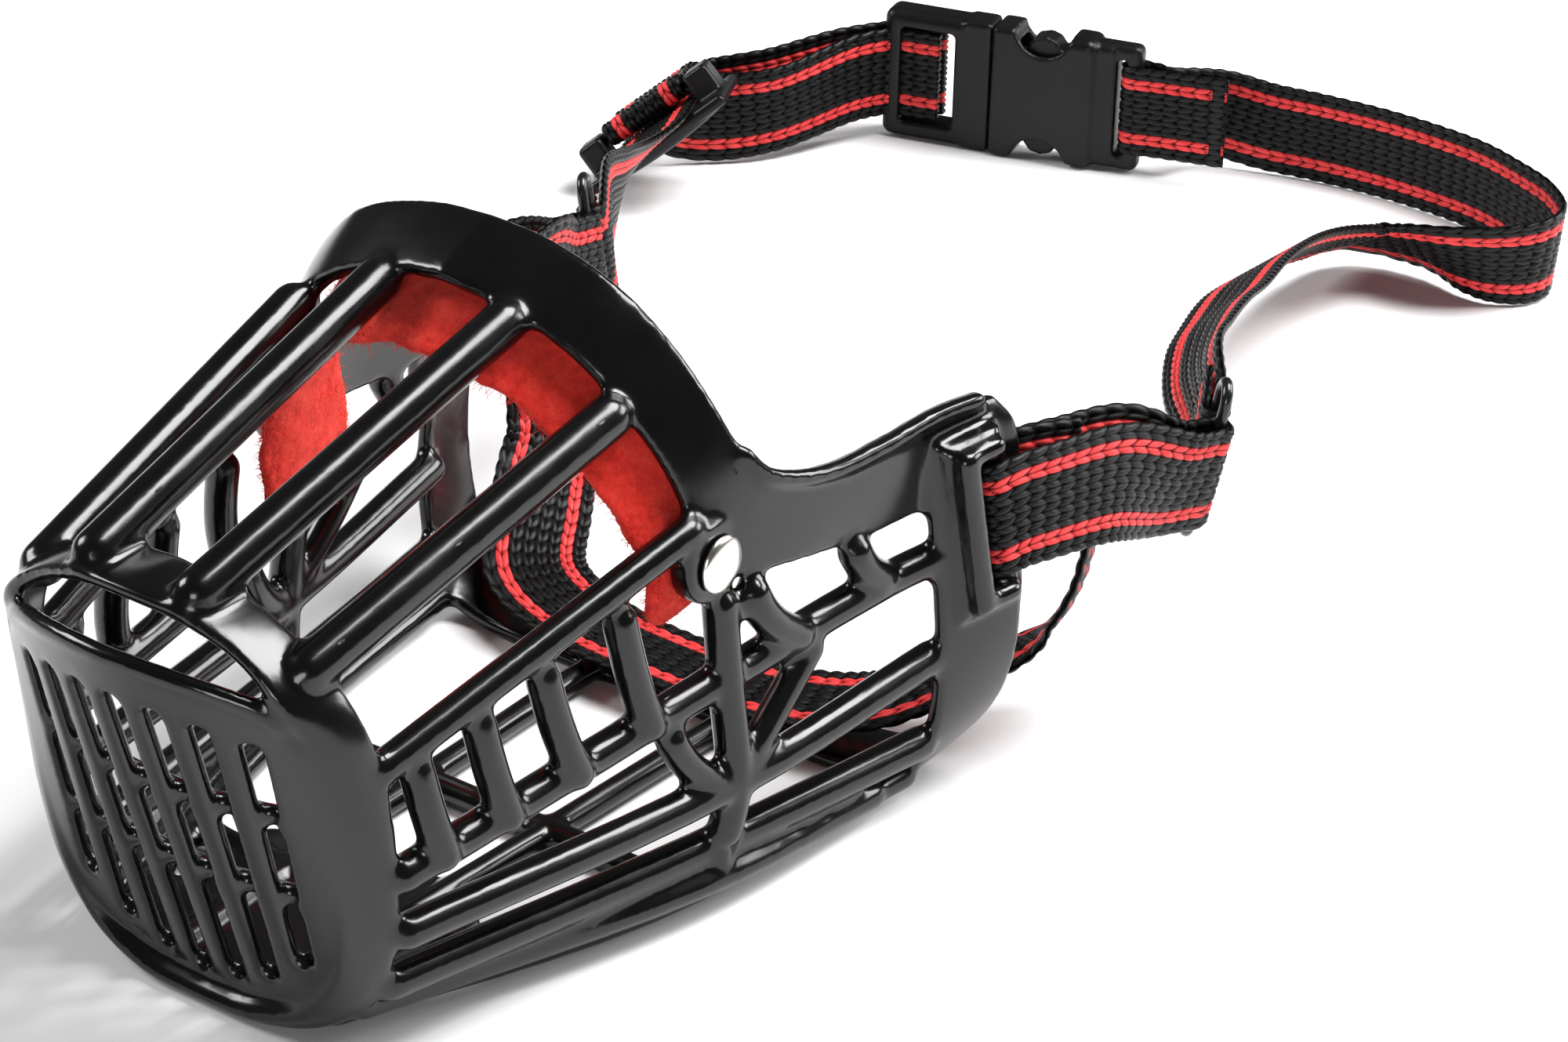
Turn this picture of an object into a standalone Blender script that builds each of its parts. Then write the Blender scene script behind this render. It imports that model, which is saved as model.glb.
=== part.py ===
"""Basket muzzle: moulded cage, felt nose pad, webbing tabs and straps, side-release buckle.

World frame: metres, +Z up, +X the left side of the muzzle, -Y the nose end.
The origin is the middle of the rear band's flat underside, on which the muzzle rests.
Drawing points are written in millimetres with y measured from the nose.
"""
import math

import bmesh
import bpy
from mathutils import Matrix, Vector

MM = 0.001
NOSE_TO_REST = 152.0        # y of the rest face, measured from the nose
GAP = 0.3                   # clearance between touching parts

RIB = 3.4                   # radius of a side rib
TOP_RIB = 4.2               # radius of a top rib
BELLY_RIB = 2.7             # radius of a bar that lies along the floor
CHEEK_RIB = 3.1             # radius of the side rib that runs beside the felt
WALL = 3.0                  # thickness of the moulded walls
RIB_SIDES = 2               # curve bevel resolution, eight sides

SLOT_PITCH = 8.3            # spacing of the grille slots
SLOT_WIDTH = 3.9
SLOTS_PER_SIDE = 3
CROSSBAR = 1.8              # radius of the bars behind the grille
CHIN_THICK = 2.4            # plate under the nose, behind the grille
CHIN_AT = (-26, -20, -10, 0, 10, 20, 26)
GRILLE_LEAN = 0.31          # how far the grille leans back per unit of height
GRILLE_TOP = 69.0           # height where the grille is furthest forward
GRILLE_FRONT = -7.0

RIVET = (92.0, 71.3)        # y and z of the rivet axis
BOSS_RADIUS = 8.0
BOSS_IN, BOSS_OUT = 46.8, 52.0
PIN_RADIUS = 1.8
CAP_RADIUS = 5.5
FELT = 3.0                  # felt thickness
PAD_SWELL = 0.9             # room for the pad's curve behind the rivet's inner cap

WEB = 23.5                  # webbing width
WEB_T = 1.6                 # webbing thickness

RING_ROD = 1.15             # radius of the ring's rod
RING_SPAN = 6.6             # distance between the ring's two long bars
RING_TALL = 34.0            # distance between its two short bars

BUCKLE_MID = (-101.0, 419.0, 17.3)
BUCKLE_DIR = (-0.966, -0.259, 0.0)      # from the female half towards the male half
BUCKLE_TALL = 34.0
BUCKLE_THICK = 11.0
BAR_OFFSET = 31.0           # from the buckle's middle to each strap bar
BAR = 1.7                   # radius of a strap bar
PRONG_PIVOT = (4.8, 8.0)    # along the buckle and across it

SLIDER_MID = (-153.6, 341.0, 18.0)
SLIDER_ALONG = (-0.476, 0.866, -0.155)  # the way the strap runs through it
SLIDER_ACROSS = (0.632, 0.459, 0.624)
SLIDER_LONG = 41.0
SLIDER_WIDE = 24.0
CENTRE_BAR = 1.2            # radius of the slider's middle bar

for old in list(bpy.data.objects):
    bpy.data.objects.remove(old, do_unlink=True)

PART = bpy.data.collections.new("basket_muzzle")
bpy.context.scene.collection.children.link(PART)
CUTTERS = bpy.data.collections.new("cutters")
bpy.context.scene.collection.children.link(CUTTERS)


def point(x, y, z):
    """World position of a drawing point."""
    return Vector((x, y - NOSE_TO_REST, z)) * MM


def material(name, color, rough, metallic=0.0):
    mat = bpy.data.materials.new(name)
    mat.use_nodes = True
    bsdf = mat.node_tree.nodes["Principled BSDF"]
    bsdf.inputs["Base Color"].default_value = (*color, 1.0)
    bsdf.inputs["Roughness"].default_value = rough
    bsdf.inputs["Metallic"].default_value = metallic
    return mat


def place(obj, collection=PART):
    for owner in list(obj.users_collection):
        owner.objects.unlink(obj)
    collection.objects.link(obj)
    obj.hide_render = collection is CUTTERS
    obj.display_type = "WIRE" if collection is CUTTERS else "TEXTURED"
    return obj


def mesh_object(name, verts, faces, collection=PART):
    mesh = bpy.data.meshes.new(name)
    mesh.from_pydata(verts, [], faces)
    mesh.validate()
    bm = bmesh.new()
    bm.from_mesh(mesh)
    bmesh.ops.recalc_face_normals(bm, faces=bm.faces)
    bm.to_mesh(mesh)
    bm.free()
    return place(bpy.data.objects.new(name, mesh), collection)


def curve_to_mesh(obj, collection):
    """Replace a curve object by the mesh it draws."""
    graph = bpy.context.evaluated_depsgraph_get()
    mesh = bpy.data.meshes.new_from_object(obj.evaluated_get(graph))
    solid = bpy.data.objects.new(obj.name, mesh)
    solid.matrix_world = obj.matrix_world.copy()
    bm = bmesh.new()
    bm.from_mesh(mesh)
    bmesh.ops.remove_doubles(bm, verts=bm.verts, dist=1e-5)
    bmesh.ops.recalc_face_normals(bm, faces=bm.faces)
    bm.to_mesh(mesh)
    bm.free()
    name = obj.name
    bpy.data.objects.remove(obj, do_unlink=True)
    solid.name = name
    return place(solid, collection)


def smooth(rows, per_span):
    """Smooth curve through rows of numbers, with per_span steps between rows.

    Each row's slope is weighted by the square roots of its distances to its neighbours, so
    that closely spaced rows beside widely spaced ones make no loops.
    """
    rows = [Vector(r) for r in rows]
    last = len(rows) - 1
    steps = [max((b - a).length, 1e-6) ** 0.5 for a, b in zip(rows, rows[1:])]
    rates = [(b - a) / step for a, b, step in zip(rows, rows[1:], steps)]
    slopes = [rates[0]]
    for i in range(1, last):
        before, after = steps[i - 1], steps[i]
        slopes.append((rates[i - 1] * after + rates[i] * before) / (before + after))
    slopes.append(rates[-1])
    out = []
    for i in range(last):
        for k in range(per_span):
            t = k / per_span
            rise = t * t * (3 - 2 * t)
            lead = t * (1 - t) ** 2 * steps[i]
            lag = t * t * (t - 1) * steps[i]
            out.append(rows[i].lerp(rows[i + 1], rise) + slopes[i] * lead + slopes[i + 1] * lag)
    out.append(rows[last])
    return out


def bend(a, b, c, steps=5):
    """Quadratic curve from a to c, pulled towards b."""
    a, b, c = Vector(a), Vector(b), Vector(c)
    out = []
    for k in range(steps + 1):
        t = k / steps
        out.append(a * (1 - t) ** 2 + b * 2 * t * (1 - t) + c * t * t)
    return out


def rod(name, pts, radius, collection=CUTTERS, closed=False, rounded=True):
    """Round bar through the drawing points, its free ends rounded over."""
    pts = [Vector(p) for p in pts]
    scale = [1.0] * len(pts)
    if rounded and not closed:
        head = pts[0] + (pts[1] - pts[0]).normalized() * radius * 0.55
        tail = pts[-1] + (pts[-2] - pts[-1]).normalized() * radius * 0.55
        pts = [pts[0], head] + pts[1:-1] + [tail, pts[-1]]
        scale = [0.6] + [1.0] * (len(pts) - 2) + [0.6]
    data = bpy.data.curves.new(name, "CURVE")
    data.dimensions = "3D"
    data.bevel_depth = radius * MM
    data.bevel_resolution = RIB_SIDES
    data.use_fill_caps = True
    line = data.splines.new("POLY")
    line.points.add(len(pts) - 1)
    line.use_cyclic_u = closed
    for knot, p, s in zip(line.points, pts, scale):
        knot.co = (*point(*p), 1.0)
        knot.radius = s
    obj = bpy.data.objects.new(name, data)
    bpy.context.scene.collection.objects.link(obj)
    return curve_to_mesh(obj, collection)


def strip(name, rows, thickness, collection=PART, closed=False, middle=False):
    """Sheet between two edge curves; rows hold (front edge, rear edge) drawing points.

    The rows lie on one face, or half way through the sheet when middle is set. Going along the
    rows with the rear edge on the left, a positive thickness is laid above them.
    """
    pairs = [(point(*row[:3]), point(*row[3:])) for row in rows]
    count = len(pairs)
    verts = []
    for i, (front, rear) in enumerate(pairs):
        if closed:
            before, after = pairs[i - 1], pairs[(i + 1) % count]
        else:
            before, after = pairs[max(i - 1, 0)], pairs[min(i + 1, count - 1)]
        along = (after[0] + after[1]) - (before[0] + before[1])
        inward = along.cross(rear - front).normalized() * thickness * MM
        lift = -inward / 2 if middle else Vector((0, 0, 0))
        verts += [front + lift, rear + lift, rear + lift + inward, front + lift + inward]
    faces = []
    for i in range(count if closed else count - 1):
        p, q = 4 * i, 4 * ((i + 1) % count)
        faces += [(p, p + 1, q + 1), (p, q + 1, q), (p + 3, q + 2, p + 2), (p + 3, q + 3, q + 2)]
        faces += [(p + 1, p + 2, q + 2, q + 1), (p + 3, p, q, q + 3)]
    if not closed:
        faces += [(0, 1, 2, 3), tuple(range(4 * count - 4, 4 * count))]
    return mesh_object(name, verts, faces, collection)


def mirrored(rows):
    """Rows from the middle outwards, repeated on the right side first."""
    flip = [Vector([-v if k % 3 == 0 else v for k, v in enumerate(r)]) for r in rows]
    return flip[:0:-1] + [Vector(r) for r in rows]


def box(name, lo, hi, collection=CUTTERS, turn=None):
    """Block between two corners given in millimetres, moved into the world by turn."""
    corners = [(x, y, z) for x in (lo[0], hi[0]) for y in (lo[1], hi[1]) for z in (lo[2], hi[2])]
    verts = [Vector(c) * MM for c in corners]
    if turn is not None:
        verts = [turn @ v for v in verts]
    faces = [(0, 1, 3, 2), (4, 6, 7, 5), (0, 4, 5, 1), (2, 3, 7, 6), (0, 2, 6, 4), (1, 5, 7, 3)]
    return mesh_object(name, verts, faces, collection)


def disc(name, centre, axis, rows, collection=CUTTERS, sides=20):
    """Turned solid; rows are (distance along axis, radius), from one end to the other."""
    axis = Vector(axis).normalized()
    side = axis.cross(Vector((0, 0, 1))).normalized()
    up = side.cross(axis)
    verts = []
    rings = []
    for along, radius in rows:
        base = Vector(centre) + axis * along
        if radius == 0:
            rings.append([len(verts)])
            verts.append(point(*base))
            continue
        rings.append(list(range(len(verts), len(verts) + sides)))
        for k in range(sides):
            a = 2 * math.pi * k / sides
            verts.append(point(*(base + (side * math.cos(a) + up * math.sin(a)) * radius)))
    faces = []
    for low, high in zip(rings, rings[1:]):
        for k in range(sides):
            a = low[k % len(low)], low[(k + 1) % len(low)]
            b = high[k % len(high)], high[(k + 1) % len(high)]
            face = [a[0], a[1], b[1], b[0]]
            faces.append(tuple(dict.fromkeys(face)))
    for ring in (rings[0], rings[-1]):
        if len(ring) > 1:
            faces.append(tuple(ring))
    return mesh_object(name, verts, faces, collection)


def boolean(base, tool, operation="UNION"):
    """Join or cut base with tool, then drop the tool."""
    mod = base.modifiers.new("op", "BOOLEAN")
    mod.operation = operation
    mod.solver = "EXACT"
    mod.object = tool
    graph = bpy.context.evaluated_depsgraph_get()
    mesh = bpy.data.meshes.new_from_object(base.evaluated_get(graph))
    base.modifiers.clear()
    base.data = mesh
    bpy.data.objects.remove(tool, do_unlink=True)
    return base


def clean(obj):
    """Merge near-coincident points left by the Booleans."""
    bm = bmesh.new()
    bm.from_mesh(obj.data)
    bmesh.ops.remove_doubles(bm, verts=bm.verts, dist=2e-5)
    bmesh.ops.dissolve_degenerate(bm, edges=bm.edges, dist=2e-5)
    bmesh.ops.triangulate(bm, faces=bm.faces)
    bmesh.ops.recalc_face_normals(bm, faces=bm.faces)
    bm.to_mesh(obj.data)
    bm.free()


def bevel(obj, width, segments=2, angle=35.0):
    mod = obj.modifiers.new("bevel", "BEVEL")
    mod.width = width * MM
    mod.segments = segments
    mod.limit_method = "ANGLE"
    mod.angle_limit = math.radians(angle)
    graph = bpy.context.evaluated_depsgraph_get()
    mesh = bpy.data.meshes.new_from_object(obj.evaluated_get(graph))
    obj.modifiers.clear()
    obj.data = mesh
    return obj


def paint(obj, mat):
    obj.data.materials.clear()
    obj.data.materials.append(mat)
    for face in obj.data.polygons:
        face.material_index = 0
    return obj


def grille_face(x, z):
    """Drawing y of the grille's front face: it leans back and bows round the nose."""
    bow = 0.0015 + 0.0072 * max(z, 0.0) / GRILLE_TOP
    return GRILLE_FRONT + (GRILLE_TOP - z) * GRILLE_LEAN + bow * x * x


# --- Moulded basket -------------------------------------------------------------------------

# Nose collar, from the top middle round the left side to the bottom middle:
# (x, z, forward) of its front edge and (x, y, z) of its rear edge. Forward is how far the
# edge stands in front of the grille.
COLLAR = [
    ((0, 89.0, 0), (0, 11, 89.6)),
    ((12, 88.0, 0), (13, 11, 88.4)),
    ((23, 83.6, 0), (25, 11.5, 83.2)),
    ((31, 77, 0), (34, 13, 75.5)),
    ((34.5, 68, 0), (39, 15, 66)),
    ((35.5, 55, 0), (41, 17, 54)),
    ((35.5, 40, 0), (41.6, 18, 40)),
    ((34.5, 27, 0.4), (41, 18.5, 27)),
    ((31, 15, 1.2), (38, 18.5, 15)),
    ((23.5, 6.4, 2.8), (31, 18.5, 6.5)),
    ((12.5, 2.2, 4.2), (20, 18.5, 1.6)),
    ((0, 1.0, 4.6), (0, 18.5, 0.4)),
]
HOOD_ROWS = 3               # collar rows that stand clear of the grille, over the top
HOOD_FRONT = -3.5


def collar_rows():
    rows = []
    for i, (front, rear) in enumerate(COLLAR):
        x, z, forward = front
        y = HOOD_FRONT + 0.0045 * x * x if i < HOOD_ROWS else grille_face(x, z) - forward
        rows.append((x, y, z, *rear))
    return rows


def loft_ring(name, loops, collection=CUTTERS):
    """Closed tube wall from a list of closed loops running out, over and back inside."""
    count = len(loops[0])
    verts = [p for loop in loops for p in loop]
    faces = []
    for r in range(len(loops)):
        low, high = r * count, ((r + 1) % len(loops)) * count
        for k in range(count):
            n = (k + 1) % count
            faces.append((low + k, low + n, high + n, high + k))
    return mesh_object(name, verts, faces, collection)


def build_collar():
    half = smooth(collar_rows(), 2)
    whole = mirrored(half)[:-1]
    middle = Vector((0, 0, 45))
    outer_front, outer_round, outer_rear, inner_rear, inner_round = [], [], [], [], []
    for row in whole:
        front, rear = Vector(row[:3]), Vector(row[3:])
        out = Vector((rear.x, 0, rear.z - middle.z)).normalized()
        shoulder = front.lerp(rear, 0.4)
        swell = max(0.0, (rear - front).dot(out))
        outer_front.append(point(*front))
        outer_round.append(point(*(shoulder + out * swell * 0.42)))
        outer_rear.append(point(*rear))
        inner_rear.append(point(*(rear - out * WALL)))
        inner_round.append(point(*(front - out * WALL * 0.9 + Vector((0, 1.4, 0)))))
    return loft_ring("collar", [outer_front, outer_round, outer_rear, inner_rear, inner_round])


def build_grille():
    """Slotted front plate: flat outline with holes, then leaned and bowed."""
    edge = [(0, 79.5), (16, 78), (27, 74.5), (33, 67)]
    edge += [(front[0] - 0.8, front[1]) for front, rear in COLLAR[5:-2]]
    edge += [(13, 3.6), (0, 2.4)]
    outline = [tuple(p[:2]) for p in smooth([(x, z, 0) for x, z in edge], 2)]
    full = [(-x, z) for x, z in outline[-2:0:-1]]
    data = bpy.data.curves.new("grille", "CURVE")
    data.dimensions = "2D"
    data.extrude = WALL * MM / 2
    data.fill_mode = "BOTH"
    loops = [outline + full]
    for k in range(-SLOTS_PER_SIDE, SLOTS_PER_SIDE + 1):
        mid, high, low = k * SLOT_PITCH, 69.0 - 0.4 * k * k, 8.0 + 1.2 * k * k
        half = SLOT_WIDTH / 2
        steps = [high - (high - low) * s / 4 for s in range(5)]
        right = [(mid + half, z) for z in steps]
        left = [(mid - half, z) for z in reversed(steps)]
        loops.append([(mid, high + half)] + right + [(mid, low - half)] + left)
    for loop in loops:
        line = data.splines.new("POLY")
        line.points.add(len(loop) - 1)
        line.use_cyclic_u = True
        for knot, (x, z) in zip(line.points, loop):
            knot.co = (x * MM, z * MM, 0.0, 1.0)
    obj = bpy.data.objects.new("grille", data)
    bpy.context.scene.collection.objects.link(obj)
    plate = curve_to_mesh(obj, CUTTERS)
    for vert in plate.data.vertices:
        x, z, depth = vert.co.x / MM, vert.co.y / MM, vert.co.z / MM
        vert.co = point(x, grille_face(x, z) + WALL / 2 + depth, z)
    bm = bmesh.new()
    bm.from_mesh(plate.data)
    bmesh.ops.triangulate(bm, faces=bm.faces)
    bmesh.ops.recalc_face_normals(bm, faces=bm.faces)
    bm.to_mesh(plate.data)
    bm.free()
    return plate


# Arch and side arm, from the top middle down and back to the rear band:
# lower front edge and upper rear edge.
ARCH = [
    (0, 78.2, 117.3, 0, 93, 123.8),
    (15, 80, 114, 15, 93.5, 122),
    (28, 81.5, 108, 30, 93.5, 116.8),
    (37, 83, 100.5, 40, 95.5, 108),
    (44, 86, 90.5, 46.5, 97.5, 99),
    (48.5, 88.5, 80, 50.5, 100, 91),
    (50.8, 92, 70, 53, 104, 85.5),
    (52.5, 99, 66, 54.5, 111, 82.3),
    (55, 114.3, 63.7, 56, 121, 80.2),
    (56.5, 130, 61.7, 57.8, 134, 80.4),
    (58.5, 146, 61.5, 59.6, 149, 81.6),
    (61, 157, 62, 62, 160, 81.6),
]

# Rear band, from its top corner down to the bottom middle: front edge and rear edge.
BAND = [
    (59.2, 148, 78, 61.4, 164, 80),
    (59.8, 146, 72, 64.5, 167.5, 74),
    (61.4, 146, 58, 68, 166.5, 58),
    (63.6, 146, 42, 69.2, 165.5, 42),
    (64.4, 146, 28, 69, 165, 28),
    (62.9, 146, 14, 65.5, 164, 16),
    (57.5, 145.5, 4.5, 58.5, 161.5, 7),
    (48, 145, 0.8, 48, 160.5, 1.6),
    (38, 144.5, 0.12, 37, 160.2, 0.12),
    (28, 144.2, 0, 28, 160, 0),
    (14, 144, 0, 14, 160, 0),
    (0, 144, 0, 0, 160, 0),
]

SLOT_MID = (65.0, 156.6, 58.0)
SLOT_TILT = math.radians(4.5)
SLOT_TURN = math.radians(-16.0)
SLOT_LEAN = math.radians(-7.0)
SLOT_GAP = 3.6
SLOT_TALL = 25.6
BEZEL_EDGE = 5.0


def slot_frame(side):
    """Matrix whose X points out through the strap slot and whose Z runs along it."""
    turn = Matrix.Rotation(SLOT_TILT, 4, "X") @ Matrix.Rotation(SLOT_TURN, 4, "Z")
    turn = Matrix.Rotation(SLOT_LEAN, 4, "Y") @ turn
    spot = Matrix.Translation(point(*SLOT_MID))
    frame = spot @ turn
    if side < 0:
        frame = Matrix.Scale(-1, 4, (1, 0, 0)) @ frame
    return frame


def build_bezel(side):
    """Raised rounded frame round the strap slot."""
    half_y, half_z = SLOT_GAP / 2 + BEZEL_EDGE, SLOT_TALL / 2 + BEZEL_EDGE
    pad = box("bezel", (-3.0, -half_y - 1.5, -half_z), (2.0, half_y - 1.5, half_z), CUTTERS,
              slot_frame(side))
    return bevel(pad, 1.2, 2)


def rib_paths():
    """Bars of the left side: name, drawing points and radius."""
    node = (54, 94.5, 26)
    paths = [
        ("rib_top_inner", [(11.3, -1.2, 88.2), (14.4, 83.0, 112.8)], TOP_RIB),
        ("rib_top_outer", [(29.6, 4.6, 77.4), (36.6, 84.4, 100.6)], TOP_RIB),
        ("rib_e", [(38, 13.5, 58.4), (49.3, 90.2, 79.3)], CHEEK_RIB),
        ("rib_f", [(40.6, 15.5, 38.3), (56.8, 137, 50.4), (60.8, 151, 52)], RIB),
        ("rib_g", [(40.3, 16.5, 26.8), node, (61.8, 150, 32)], RIB),
        ("rib_h", [(36.5, 16.5, 15), (51, 92.7, 12.8), (61, 149, 13.2)], RIB),
        ("rib_i", [(30.5, 16.5, 8.2), (52.8, 88, 7.2), (57, 138, 5)], BELLY_RIB),
        ("rib_j", [(24, 16.5, 4.2), (46.5, 80, 3.1), (57.5, 148, 5)], BELLY_RIB),
        ("rib_belly", [(11.2, 15.4, 3.5), (14, 60, 2.9), (17, 147, 2.9)], BELLY_RIB),
        ("post", [(50.4, 94.4, 64.6), (51.6, 95.2, 47), (54.2, 94.9, 25.5), (53.2, 92.8, 13)], RIB),
        ("post_foot", [(53.4, 93, 14), (51.0, 91.6, 6.4), (43, 90.5, 3.0), (20, 90, 2.9),
                       (-1, 90, 2.9)], BELLY_RIB),
        ("belly_hoop", [(35.6, 50, 4.4), (30, 50, 3.0), (-1, 50, 2.9)], BELLY_RIB),
        ("brace_front", bend((50.3, 79.8, 42.6), (51.5, 84, 30), (54.4, 95.6, 25.2)), RIB * 0.9),
        ("brace_rear", bend((55.2, 118, 47.2), (54.3, 108, 36), (54.3, 94, 26.2)), RIB * 0.85),
        ("back_rib_front", bend((52.6, 100.3, 65), (53.6, 102.5, 54), (55, 115.5, 47.6)), RIB),
        ("back_rib_rear", bend((56.2, 127, 63.5), (56.4, 128.5, 55), (57.2, 138, 50.6)), RIB),
    ]
    short = [((39.6, 23.6, 59.5), (42.6, 27.5, 38.8)), ((41.6, 37.6, 63.0), (44.5, 42.6, 40.2)),
             ((43.4, 52.6, 66.2), (46.6, 59.4, 42.0)), ((45.6, 71.1, 70.0), (48.6, 76.8, 44.0))]
    for k, (top, low) in enumerate(short):
        pull = (max(top[0], low[0]) + 1.2, top[1] + 0.2, low[2] + (top[2] - low[2]) * 0.3)
        end = (low[0] + 1.4, low[1], low[2] - 1.5)
        paths.append(("short_rib_%d" % k, bend(top, pull, end), RIB * 0.95))
    return paths


def build_basket(mat):
    basket = build_collar()
    basket.name = "muzzle_basket"
    boolean(basket, build_grille())
    for z in (50.0, 32.0):
        xs = [-35 + 70 * k / 8 for k in range(9)]
        pts = [(x, grille_face(x, z) + WALL + 0.7, z) for x in xs]
        boolean(basket, rod("crossbar", pts, CROSSBAR, rounded=False))
    chin = [(x, 17.5, 2.5 + 0.0022 * x * x, x, 66 - 0.012 * x * x, 2.7) for x in CHIN_AT]
    boolean(basket, strip("chin", chin, CHIN_THICK, CUTTERS, middle=True))
    arch = strip("arch", mirrored(smooth(ARCH, 2)), -WALL, CUTTERS)
    band = strip("band", mirrored(smooth(BAND[::-1], 2)), WALL, CUTTERS)
    boolean(basket, arch)
    boolean(basket, band)
    for side in (1, -1):
        boolean(basket, disc("boss", (0, *RIVET), (side, 0, 0),
                             [(BOSS_IN, BOSS_RADIUS), (BOSS_OUT - 0.6, BOSS_RADIUS),
                              (BOSS_OUT, BOSS_RADIUS - 0.8)]))
        boolean(basket, build_bezel(side))
    for side in (1, -1):
        for name, pts, radius in rib_paths():
            turned = [(side * p[0], p[1], p[2]) for p in pts]
            boolean(basket, rod(name, turned, radius))
        bead = [(side * (r[3] + 0.1), r[4] - 0.4, r[5] - 0.6) for r in ARCH[5:]]
        boolean(basket, rod("bead", bead, 1.5))
    for side in (1, -1):
        boolean(basket, disc("rivet_hole", (0, *RIVET), (side, 0, 0),
                             [(30, PIN_RADIUS + GAP), (70, PIN_RADIUS + GAP)]), "DIFFERENCE")
        half_y, half_z = SLOT_GAP / 2, SLOT_TALL / 2
        boolean(basket, box("slot", (-20, -half_y, -half_z), (20, half_y, half_z), CUTTERS,
                            slot_frame(side)), "DIFFERENCE")
    clean(basket)
    place(basket)
    return paint(basket, mat)


# --- Rivets and felt ------------------------------------------------------------------------

def build_rivets(mat):
    felt_in = BOSS_IN - GAP - FELT - PAD_SWELL
    for side, label in ((1, "left"), (-1, "right")):
        axis = (side, 0, 0)
        centre = (0, *RIVET)
        face = BOSS_OUT + GAP
        pin_end = felt_in - GAP - 1.0
        cap = disc("rivet_cap_" + label, centre, axis,
                   [(pin_end, PIN_RADIUS), (face, PIN_RADIUS), (face, CAP_RADIUS),
                    (face + 0.7, CAP_RADIUS), (face + 1.5, CAP_RADIUS * 0.8),
                    (face + 1.8, CAP_RADIUS * 0.45), (face + 1.9, 0)], PART, 24)
        paint(cap, mat)
        back = disc("rivet_back_" + label, centre, axis,
                    [(felt_in - GAP - 2.6, 0), (felt_in - GAP - 2.6, CAP_RADIUS * 0.7),
                     (felt_in - GAP - 1.6, CAP_RADIUS * 0.95), (felt_in - GAP, CAP_RADIUS * 0.95),
                     (felt_in - GAP, PIN_RADIUS + GAP), (pin_end - GAP, PIN_RADIUS + GAP),
                     (pin_end - GAP, 0)], PART, 24)
        paint(back, mat)


# Felt pad, from the top middle down the left side to its end below the rivet.
PAD = [
    (0, 76.5, 106.6, 0, 92, 115.6),
    (14, 77.5, 104, 14, 92.5, 113.8),
    (26, 79.5, 97.8, 27.5, 93.5, 108.4),
    (34.5, 81.5, 90, 37, 95, 101),
    (40.5, 83, 82, 42.8, 96.5, 91),
    (44.6, 84, 76.5, 45.9, 97.5, 81),
    (46.4, 84.5, 70, 46.5, 98.5, 73),
    (46.5, 85, 60.5, 46.5, 98.5, 61.5),
]


def build_pad(mat):
    pad = strip("nose_pad", mirrored(smooth(PAD, 2)), -FELT)
    for side in (1, -1):
        boolean(pad, disc("pad_hole", (0, *RIVET), (side, 0, 0),
                          [(38, PIN_RADIUS + GAP), (50, PIN_RADIUS + GAP)]), "DIFFERENCE")
    clean(pad)
    return paint(pad, mat)


# --- Webbing ----------------------------------------------------------------------------------

def webbing(name, stations, mat, per_span=2, wide=WEB):
    """Flat strap; stations are (centre, width direction), both in drawing axes."""
    rows = smooth([(*c, *Vector(w).normalized()) for c, w in stations], per_span)
    flat = []
    for i, row in enumerate(rows):
        centre = Vector(row[:3])
        ahead = Vector(rows[min(i + 1, len(rows) - 1)][:3])
        behind = Vector(rows[max(i - 1, 0)][:3])
        along = (ahead - behind).normalized()
        across = Vector(row[3:])
        across = (across - along * across.dot(along)).normalized() * wide / 2
        flat.append((*(centre - across), *(centre + across)))
    return paint(strip(name, flat, WEB_T, PART, middle=True), mat)


def wrap(centre, across, toward, turn, radius, steps=6):
    """Stations round a bar: from the toward direction, turning by turn degrees."""
    across = Vector(across).normalized()
    start = Vector(toward)
    start = (start - across * start.dot(across)).normalized()
    out = []
    for k in range(steps + 1):
        spin = Matrix.Rotation(math.radians(turn * k / steps), 3, across)
        out.append((tuple(Vector(centre) + (spin @ start) * radius), tuple(across)))
    return out


def mirror_stations(stations):
    return [((-c[0], c[1], c[2]), (-w[0], w[1], w[2])) for c, w in stations]


def standing(rows):
    """Stations for a strap on its edge; rows are (x, y, z, lean to the right in degrees)."""
    out = []
    for i, row in enumerate(rows):
        ahead = Vector(rows[min(i + 1, len(rows) - 1)][:3])
        behind = Vector(rows[max(i - 1, 0)][:3])
        along = (ahead - behind).normalized()
        up = (Vector((0, 0, 1)) - along * along.z).normalized()
        across = Matrix.Rotation(math.radians(row[3]), 3, along) @ up
        out.append((tuple(row[:3]), tuple(across)))
    return out


def fold(centre, across, along, legs, radius=BAR + GAP + WEB_T / 2, close=2.0):
    """Strap folded round a bar: both legs leave along a direction, legs long each.

    Returns the left leg, the turn and the right leg as one run of stations.
    """
    across = Vector(across).normalized()
    along = Vector(along)
    along = (along - across * along.dot(across)).normalized()
    right = along.cross(across)
    centre = Vector(centre)
    out = []
    if legs[0]:
        out.append((centre + along * legs[0] - right * close / 2, across))
        out.append((centre + along * (radius + 3.0) - right * (radius * 0.75), across))
    out += wrap(centre, across, -right, 180, radius)
    if legs[1]:
        out.append((centre + along * (radius + 3.0) + right * (radius * 0.75), across))
        out.append((centre + along * legs[1] + right * close / 2, across))
    return [(tuple(c), tuple(a)) for c, a in out]


# --- Rings ------------------------------------------------------------------------------------

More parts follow.
